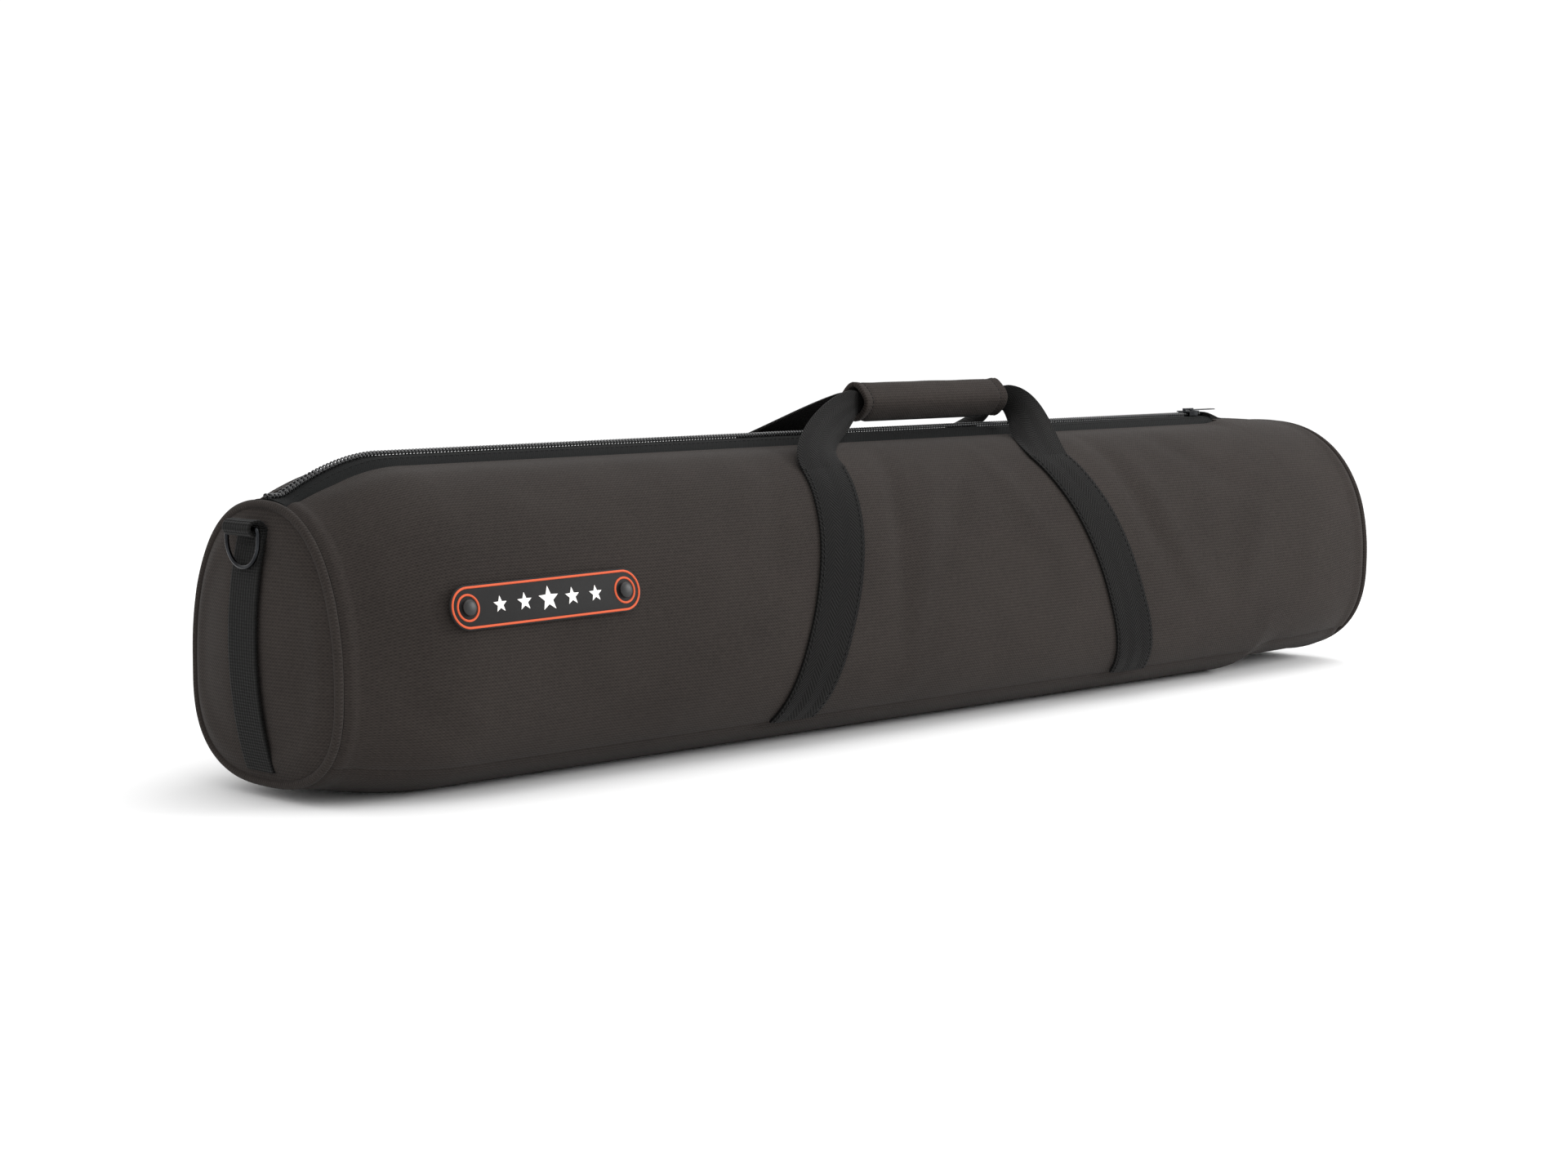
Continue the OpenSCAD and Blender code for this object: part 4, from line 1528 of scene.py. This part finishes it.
@dataclass
class Handle:
    """Legs sewn up both walls, free webs, and the padded wrap that holds them together."""

    form: Form
    finishes: Finishes
    web_w: float = 0.046
    web_t: float = 0.0018
    lift: float = 0.0006
    grip_x0: float = 0.0
    grip_x1: float = 0.172
    grip_z: float = 0.253
    grip_r: float = 0.0155
    wrap_t: float = 0.0045
    grip_web_y: float = 0.0044
    grip_web_w: float = 0.017
    columns: int = 12

    def leg_angles(self) -> tuple[float, float]:
        """The outline angles of a leg's top and bottom."""
        return self.form.angle_at_z(NEAR_LEG.top_z), self.form.seam_angle - 2

    def leg(self, side: Side, line: LegLine, word: str) -> bpy.types.Object:
        """Models one leg's webbing on the wall, with a row of stitches along each edge."""
        form = self.form
        top_t, low_t = self.leg_angles()
        angles, lengths = form.arc_table()
        top, low = np.interp((top_t, low_t), angles, lengths)

        def on_wall(offset: float, share: float, proud: float) -> tuple[Vector, float]:
            """A point at an offset from the leg's middle and a share down it, and its length along."""
            reach = float(top + (low - top) * share)
            t = float(np.interp(reach, lengths, angles))
            z = form.flat_point(form.mid, t, 0)[1]
            x = line.x_at(z) + offset
            return form.point(x, t, -proud, side.value), reach

        def place(u: float, v: float) -> Placed:
            """A point at a share across the leg and a share down it."""
            offset = (u - 0.5) * self.web_w
            edge = 0.0004 * abs(2 * u - 1) ** 6
            point, reach = on_wall(offset, v, self.lift + self.web_t + 0.0002 - edge)
            return point, offset, reach

        piece = shaped_grid(f"{side.word}_{word}_leg_web", self.columns, 90, place)
        face_away(piece, Vector((0, 0, 0.11)))
        use_modifier(piece, "SOLIDIFY", thickness=self.web_t, offset=-1.0)
        smooth(piece, 50)
        dress(piece, self.finishes.webbing)
        rows = []
        for k, offset in enumerate((-self.web_w / 2 + 0.003, self.web_w / 2 - 0.003)):

            def route(share: float, offset: float = offset) -> tuple[Vector, Vector]:
                """A point of the row along one edge."""
                here, _ = on_wall(offset, share, self.lift + self.web_t + 0.0002)
                deeper, _ = on_wall(offset, share, self.lift)
                return here, (here - deeper).normalized()

            rows.append(
                stitch_row(
                    f"{piece.name}_row_{k}",
                    route,
                    float(low - top),
                    self.finishes.thread,
                    0.0042,
                    0.0005,
                )
            )
        return join(piece, rows)

    def web_ring(
        self, side: Side, line: LegLine, x_grip: float, out: int, u: float
    ) -> tuple[Vector, Vector, float]:
        """The middle, width direction and half width of a free web at a share up to the grip, as if in front.

        Args:
            side: the front webs stand up and arch over; the rear ones lie back along the top.
            line: the leg that the web rises from.
            x_grip: where it enters the wrap.
            out: -1 for the near web and 1 for the far one.
            u: from 0 at the leg to 1 at the wrap.

        Returns:
            Middle, unit width direction and half width.
        """
        top_t, _ = self.leg_angles()
        x_leg = line.x_at(line.top_z)
        rest = self.form.point(x_leg, top_t, -(self.lift + self.web_t / 2 + 0.0002))
        p0 = rest
        step = self.form.point(x_leg, top_t + 1.0, -(self.lift + self.web_t / 2 + 0.0002))
        climb = (rest - step).normalized()
        p3 = Vector((x_grip, -self.grip_web_y, self.grip_z))
        if side is Side.FRONT:
            p1 = p0 + climb * 0.024 + Vector((out * 0.002, 0.003, 0.010))
            p2 = p3 + Vector((out * 0.026, -0.011, -0.002))
            twist = 1.5
        else:
            p1 = p0 + Vector((-out * 0.034, 0.028, 0.017))
            p2 = p3 + Vector((out * 0.023, -0.008, -0.014))
            twist = 2.0
        c = p0 * (1 - u) ** 3 + p1 * (3 * (1 - u) ** 2 * u) + p2 * (3 * (1 - u) * u * u) + p3 * u**3
        turn = math.radians(90 * u**twist)
        w = Vector((math.cos(turn) * out, -0.1 * (1 - u) * u * 4, math.sin(turn))).normalized()
        half = (self.web_w + (self.grip_web_w - self.web_w) * u**2.2) / 2
        return c, w, half

    def web(
        self, side: Side, line: LegLine, x_grip: float, out: int, span: tuple[float, float], name: str
    ) -> bpy.types.Object:
        """Models a length of free web between two shares of its rise."""
        steps = max(8, int(46 * (span[1] - span[0])))
        reach = [0.0]
        mids = [
            self.web_ring(side, line, x_grip, out, span[0] + (span[1] - span[0]) * i / steps)[0]
            for i in range(steps + 1)
        ]
        for a, b in zip(mids, mids[1:]):
            reach.append(reach[-1] + (b - a).length)

        def place(u: float, v: float) -> Placed:
            """A point at a share across the web and a share up it."""
            i = round(v * steps)
            share = span[0] + (span[1] - span[0]) * v
            c, w, half = self.web_ring(side, line, x_grip, out, share)
            cup = 0.0035 * math.sin(math.pi * min(1.0, share * 1.1)) * ((2 * u - 1) ** 2)
            point = c + w * ((u - 0.5) * 2 * half) + Vector((0, 0.4 * cup, -cup))
            point.y = point.y if side is Side.FRONT else -point.y
            return point, (u - 0.5) * self.web_w * out, -reach[i]

        piece = shaped_grid(name, self.columns, steps, place)
        use_modifier(piece, "SOLIDIFY", thickness=self.web_t, offset=0.0)
        smooth(piece, 50)
        hold(piece)
        bpy.ops.object.mode_set(mode="EDIT")
        bpy.ops.mesh.select_all(action="SELECT")
        bpy.ops.mesh.normals_make_consistent(inside=False)
        bpy.ops.object.mode_set(mode="OBJECT")
        return dress(piece, self.finishes.webbing)

    def free_webs(self, side: Side) -> None:
        """Models one side's loop: two webs from the wall and the doubled length inside the wrap."""
        node = f"{side.word}_loop"
        for line, x_grip, out, word in (
            (NEAR_LEG, self.grip_x0, -1, "near"),
            (FAR_LEG, self.grip_x1, 1, "far"),
        ):

            def mark(u: float, line: LegLine = line, x_grip: float = x_grip, out: int = out) -> Vector:
                """The web's middle at a share of its rise, on this side."""
                c, _, _ = self.web_ring(side, line, x_grip, out, u)
                return Vector((c.x, c.y if side is Side.FRONT else -c.y, c.z))

            low = self.web(side, line, x_grip, out, (0.0, 0.7), f"{node}_{word}_web")
            neck = self.web(side, line, x_grip, out, (0.7, 1.0), f"{node}_{word}_neck")
            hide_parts(node)
            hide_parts(node)
            mark(0.7)
            mark(0.4)
            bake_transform(low)
            mark(0.7)
            mark(1.0)
            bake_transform(neck)
            log.info("%s: %d faces", low.name, len(low.data.polygons))
        x0, x1 = self.grip_x0 - 0.0005, self.grip_x1 + 0.0005
        y0 = side.value * self.grip_web_y

        def place(u: float, v: float) -> Placed:
            """A point at a share across the core and a share along it."""
            x = x0 + (x1 - x0) * v
            z = self.grip_z + (u - 0.5) * self.grip_web_w
            return Vector((x, y0 + 0.0006 * math.sin(40 * x), z)), (u - 0.5) * self.web_w, x

        core = shaped_grid(f"{node}_core", 6, 24, place)
        use_modifier(core, "SOLIDIFY", thickness=self.web_t, offset=0.0)
        smooth(core, 50)
        dress(core, self.finishes.webbing)
        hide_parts(node)
        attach(core, "handle")

    def wrap_radius(self, x: float, a: float) -> float:
        """The wrap's outer radius at a place and an angle in radians, soft and flared at its ends."""
        from_end = min(x - self.grip_x0, self.grip_x1 - x)
        squarish = 1 + 0.045 * math.cos(4 * a)
        soft = 0.00045 * noise.noise(Vector((x * 45, math.cos(a) * 1.5, math.sin(a) * 1.5)))
        hem = -0.0006 * math.exp(-(((from_end - 0.0085) / 0.0016) ** 2))
        flare = 0.0006 * math.exp(-((from_end / 0.005) ** 2))
        return (self.grip_r - 0.0006) * squarish + soft + hem + flare

    def wrap_half(self, side: Side) -> bpy.types.Object:
        """Models one half of the wrap as a padded shell with stitched hems."""
        x0, x1 = self.grip_x0, self.grip_x1
        gap = 0.012

        def on_wrap(share: float, turn: float, deeper: float) -> Vector:
            """A point at a share along the wrap and an angle from its top."""
            x = x0 + (x1 - x0) * share
            r = self.wrap_radius(x, turn) - deeper
            return Vector((x, side.value * r * math.sin(turn), self.grip_z + r * math.cos(turn)))

        def place(u: float, v: float) -> Placed:
            """A point at a share along the wrap and a share round its half."""
            turn = gap + (math.pi - 2 * gap) * v
            return on_wrap(u, turn, 0.0), x0 + (x1 - x0) * u, self.grip_r * turn

        name = "grip_wrap_shell" if side is Side.REAR else "grip_flap_shell"
        piece = shaped_grid(name, 84, 26, place)
        face_away(piece, Vector((0, 0, self.grip_z)))
        use_modifier(piece, "SOLIDIFY", thickness=self.wrap_t - 0.0004, offset=-1.0)
        use_modifier(
            piece, "BEVEL", width=0.0013, segments=3, limit_method="ANGLE", angle_limit=math.radians(60)
        )
        smooth(piece, 60)
        dress(piece, self.finishes.shell)
        rows = []
        for k, inset in enumerate((0.0085, x1 - x0 - 0.0085)):

            def route(share: float, inset: float = inset) -> tuple[Vector, Vector]:
                """A point of the hem's row."""
                turn = gap + (math.pi - 2 * gap) * share
                here = on_wrap(inset / (x1 - x0), turn, 0.0)
                return here, Vector((0, side.value * math.sin(turn), math.cos(turn)))

            rows.append(
                stitch_row(
                    f"{name}_hem_{k}",
                    route,
                    math.pi * self.grip_r,
                    self.finishes.thread,
                    0.0036,
                    0.0005,
                )
            )
        return join(piece, rows)

    def make(self) -> None:
        """Builds and dresses the handle."""
        for side in Side:
            for line, word in ((NEAR_LEG, "near"), (FAR_LEG, "far")):
                leg = self.leg(side, line, word)
                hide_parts(f"{side.word}_{word}_leg")
                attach(leg, side.body)
                log.info("%s: %d faces", leg.name, len(leg.data.polygons))
            self.free_webs(side)
        rear = self.wrap_half(Side.REAR)
        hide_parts("grip_wrap")
        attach(rear, "handle")
        flap = self.wrap_half(Side.FRONT)
        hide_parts("grip_flap")
        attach(flap, "grip_flap")
        recoat("grip_loop_strip", self.finishes.pile)
        recoat("grip_hook_strip", self.finishes.pile)


# ---------------------------------------------------------------- label


@dataclass
class Label:
    """The moulded rubber label: plate, raised rim and rings, plain stars and two rivets."""

    form: Form
    finishes: Finishes
    x: float = -0.4155
    z: float = 0.133
    length: float = 0.168
    height: float = 0.031
    thick: float = 0.0016
    lean: float = 12.0
    tilt: float = 0.8
    rivet_pitch: float = 0.138
    ring_d: float = 0.019
    rim_in: float = 0.0012
    rim_w: float = 0.0016
    star_pitch: float = 0.021

    @property
    def place(self) -> Matrix:
        """Where the label's flat work goes on the front wall."""
        y, z = self.form.flat_point(self.form.mid, self.form.angle_at_z(self.z), -0.0009)
        leaned = Matrix.Rotation(math.radians(90 - self.lean), 4, "X")
        turn = leaned @ Matrix.Rotation(math.radians(self.tilt), 4, "Z")
        return Matrix.Translation((self.x, y, z)) @ turn

    def put(self, piece: bpy.types.Object, material: bpy.types.Material, node: str) -> None:
        """Moves flat work onto the wall, dresses it and bakes its place in."""
        piece.data.transform(self.place)
        piece.data.update()
        smooth(piece, 50)
        dress(piece, material)
        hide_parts(node)
        bend_with_wall(piece, Stretch.NEAR, Side.FRONT)
        log.info("%s: %d faces", piece.name, len(piece.data.polygons))

    def plate(self) -> bpy.types.Object:
        """A round plate pulled out to a long pill, with its top edge rounded."""
        deselect_all()
        bpy.ops.mesh.primitive_cylinder_add(
            vertices=62, radius=self.height / 2, depth=self.thick, location=(0, 0, self.thick / 2)
        )
        piece = take("label_pill")
        bpy.ops.object.transform_apply(location=True, rotation=False, scale=False)
        for way in (-1, 1):
            hold(piece)
            for vertex in piece.data.vertices:
                vertex.select = vertex.co.x * way > 0
            for edge in piece.data.edges:
                edge.select = False
            for face in piece.data.polygons:
                face.select = False
            bpy.ops.object.mode_set(mode="EDIT")
            bpy.ops.mesh.select_mode(type="VERT")
            bpy.ops.transform.translate(value=(way * (self.length - self.height) / 2, 0, 0))
            bpy.ops.object.mode_set(mode="OBJECT")
        use_modifier(
            piece,
            "BEVEL",
            width=0.0006,
            segments=3,
            limit_method="ANGLE",
            angle_limit=math.radians(60),
        )
        return piece

    def pill_path(self, inset: float) -> list[Vector]:
        """Points round the pill, some way inside its edge."""
        r = self.height / 2 - inset
        half = (self.length - self.height) / 2
        points = []
        for i in range(25):
            a = math.radians(-90 + 180 * i / 24)
            points.append(Vector((half + r * math.cos(a), r * math.sin(a), self.thick)))
        points += [Vector((half * (1 - 2 * i / 12), r, self.thick)) for i in range(1, 12)]
        for i in range(25):
            a = math.radians(90 + 180 * i / 24)
            points.append(Vector((-half + r * math.cos(a), r * math.sin(a), self.thick)))
        points += [Vector((-half * (1 - 2 * i / 12), -r, self.thick)) for i in range(1, 13)]
        return points

    def line(self, name: str, path: list[Vector]) -> bpy.types.Object:
        """A raised line that follows a closed path on the plate."""
        outward = []
        for i in range(len(path)):
            ahead = path[(i + 1) % (len(path) - 1)]
            behind = path[i - 1] if i else path[-2]
            outward.append((ahead - behind).normalized().cross(Vector((0, 0, 1))))
        up = [Vector((0, 0, 1)) for _ in path]
        return tube(name, path, outward, up, self.rim_w / 2, 0.0006, 8, True)

    def rim(self) -> bpy.types.Object:
        """The orange rim with a ring round each rivet."""
        main = self.line("label_rim_line", self.pill_path(self.rim_in + self.rim_w / 2))
        rings = []
        for way in (-1, 1):
            middle = Vector((way * self.rivet_pitch / 2, 0, self.thick))
            r = self.ring_d / 2 - self.rim_w / 2
            path = [
                middle + Vector((r * math.cos(math.radians(7.5 * i)), r * math.sin(math.radians(7.5 * i)), 0))
                for i in range(49)
            ]
            rings.append(self.line(f"label_ring_{way + 1}", path))
        return join(main, rings)

    def stars(self) -> bpy.types.Object:
        """A row of plain raised stars."""
        made = []
        for i in range(-2, 3):
            deselect_all()
            radius = 0.009 if i == 0 else 0.007 - abs(i) * 0.0005
            bpy.ops.mesh.primitive_circle_add(vertices=10, radius=radius, fill_type="TRIFAN")
            star = take(f"label_star_{i + 2}")
            for vertex in star.data.vertices:
                reach = math.hypot(vertex.co.x, vertex.co.y)
                if reach < 1e-6:
                    continue
                step = round(math.degrees(math.atan2(vertex.co.y, vertex.co.x) - math.pi / 2) / 36)
                if step % 2:
                    vertex.co *= 0.42
                vertex.co.z = 0
            hold(star)
            bpy.ops.object.mode_set(mode="EDIT")
            bpy.ops.mesh.select_all(action="SELECT")
            bpy.ops.mesh.extrude_region_move(TRANSFORM_OT_translate={"value": (0, 0, 0.0006)})
            bpy.ops.mesh.select_all(action="SELECT")
            bpy.ops.mesh.normals_make_consistent(inside=False)
            bpy.ops.object.mode_set(mode="OBJECT")
            use_modifier(
                star, "BEVEL", width=0.00022, segments=2, limit_method="ANGLE", angle_limit=math.radians(60)
            )
            star.data.transform(Matrix.Translation((i * self.star_pitch, 0, self.thick - 0.0001)))
            made.append(star)
        return join(made[0], made[1:])

    def rivets(self) -> bpy.types.Object:
        """Two low domed rivet caps."""
        made = []
        for way in (-1, 1):
            deselect_all()
            bpy.ops.mesh.primitive_uv_sphere_add(segments=32, ring_count=16, radius=0.0055)
            cap = take(f"label_rivet_{way + 1}")
            hold(cap)
            bpy.ops.object.mode_set(mode="EDIT")
            bpy.ops.mesh.select_all(action="SELECT")
            bpy.ops.mesh.bisect(plane_co=(0, 0, 0), plane_no=(0, 0, 1), clear_inner=True, use_fill=True)
            bpy.ops.mesh.select_all(action="SELECT")
            bpy.ops.transform.resize(value=(1, 1, 0.32))
            bpy.ops.object.mode_set(mode="OBJECT")
            cap.data.transform(Matrix.Translation((way * self.rivet_pitch / 2, 0, self.thick)))
            made.append(cap)
        return join(made[0], made[1:])

    def make(self) -> None:
        """Builds and dresses the label."""
        self.put(self.plate(), self.finishes.rubber, "label_plate")
        self.put(self.rim(), self.finishes.orange, "label_rim")
        self.put(self.stars(), self.finishes.white, "label_motif")
        self.put(self.rivets(), self.finishes.rivet, "label_rivets")


# ---------------------------------------------------------------- studio


@dataclass
class Studio:
    """A pale floor, a bright room, soft lights and the camera."""

    eye: Point = (-1.63479782, -1.58856613, 0.33994814)
    look: Point = (0.69615131, 0.71034236, -0.1038609)
    lens: float = 64.67

    def camera(self) -> None:
        """Sets up the camera."""
        data = bpy.data.cameras.new("camera")
        data.lens = self.lens
        data.sensor_width = 36.0
        data.clip_end = 60
        eye = bpy.data.objects.new("camera", data)
        eye.location = self.eye
        eye.rotation_euler = Vector(self.look).to_track_quat("-Z", "Y").to_euler()
        bpy.context.scene.collection.objects.link(eye)
        bpy.context.scene.camera = eye

    def lamp(self, name: str, at: Point, aim: Point, size: tuple[float, float], power: float) -> None:
        """Adds one soft box.

        Args:
            name: the light's name.
            at: where it stands.
            aim: where it points.
            size: its width and height.
            power: watts.
        """
        data = bpy.data.lights.new(name, "AREA")
        data.shape = "RECTANGLE"
        data.size, data.size_y = size
        data.energy = power
        light = bpy.data.objects.new(name, data)
        light.location = at
        light.rotation_euler = (Vector(aim) - Vector(at)).to_track_quat("-Z", "Y").to_euler()
        bpy.context.scene.collection.objects.link(light)

    def make(self) -> None:
        """Builds the studio."""
        self.camera()
        world = bpy.data.worlds.new("bright_room")
        world.use_nodes = True
        world.node_tree.nodes.clear()
        glow = add_node(
            world.node_tree, "ShaderNodeBackground", {"Color": linear("#ffffff"), "Strength": 1.08}
        )
        add_node(world.node_tree, "ShaderNodeOutputWorld", {"Surface": glow.outputs[0]})
        bpy.context.scene.world = world
        bpy.context.scene.view_settings.view_transform = "Standard"
        self.lamp("top_box", (0.5, -0.3, 2.4), (0.2, 0, 0.1), (3.2, 1.8), 24)
        self.lamp("front_box", (1.9, -1.9, 1.1), (0.35, 0, 0.12), (1.4, 1.1), 46)
        self.lamp("side_box", (-2.8, 0.5, 1.2), (-0.5, 0, 0.12), (1.2, 1.2), 5)
        deselect_all()
        bpy.ops.mesh.primitive_plane_add(size=60)
        floor = take("studio_floor")
        paint, tree, shader = new_material("matt_floor_paint", {"Roughness": 0.9})
        place = add_node(tree, "ShaderNodeTexCoord")
        mottle = add_node(tree, "ShaderNodeTexNoise", {"Vector": place.outputs["Object"], "Scale": 0.8})
        tone = add_node(
            tree,
            "ShaderNodeMix",
            {0: mottle.outputs[0], 6: linear("#f6f6f6"), 7: linear("#fafafa")},
            data_type="RGBA",
        )
        tree.links.new(tone.outputs[2], shader.inputs["Base Color"])
        floor.data.materials.append(paint)


# ---------------------------------------------------------------- making


def write_sizes() -> None:
    """Updates the view layer."""
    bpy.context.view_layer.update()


def main() -> None:
    """Builds the whole case in order."""
    logging.basicConfig(level=logging.INFO, format="%(name)s: %(message)s")
    Studio().make()
    low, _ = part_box("near_collar_fabric")
    _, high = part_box("far_collar_fabric")
    form = Form(near_x=low.x - 0.0014, far_x=high.x + 0.0014)
    finishes = Finishes()
    Walls(form, finishes).make()
    Base(form, finishes).make()
    for end in End:
        CaseEnd(end, form, finishes).make()
    Zip(form, finishes).make()
    Handle(form, finishes).make()
    Label(form, finishes).make()
    write_sizes()


if __name__ == "__main__":
    main()
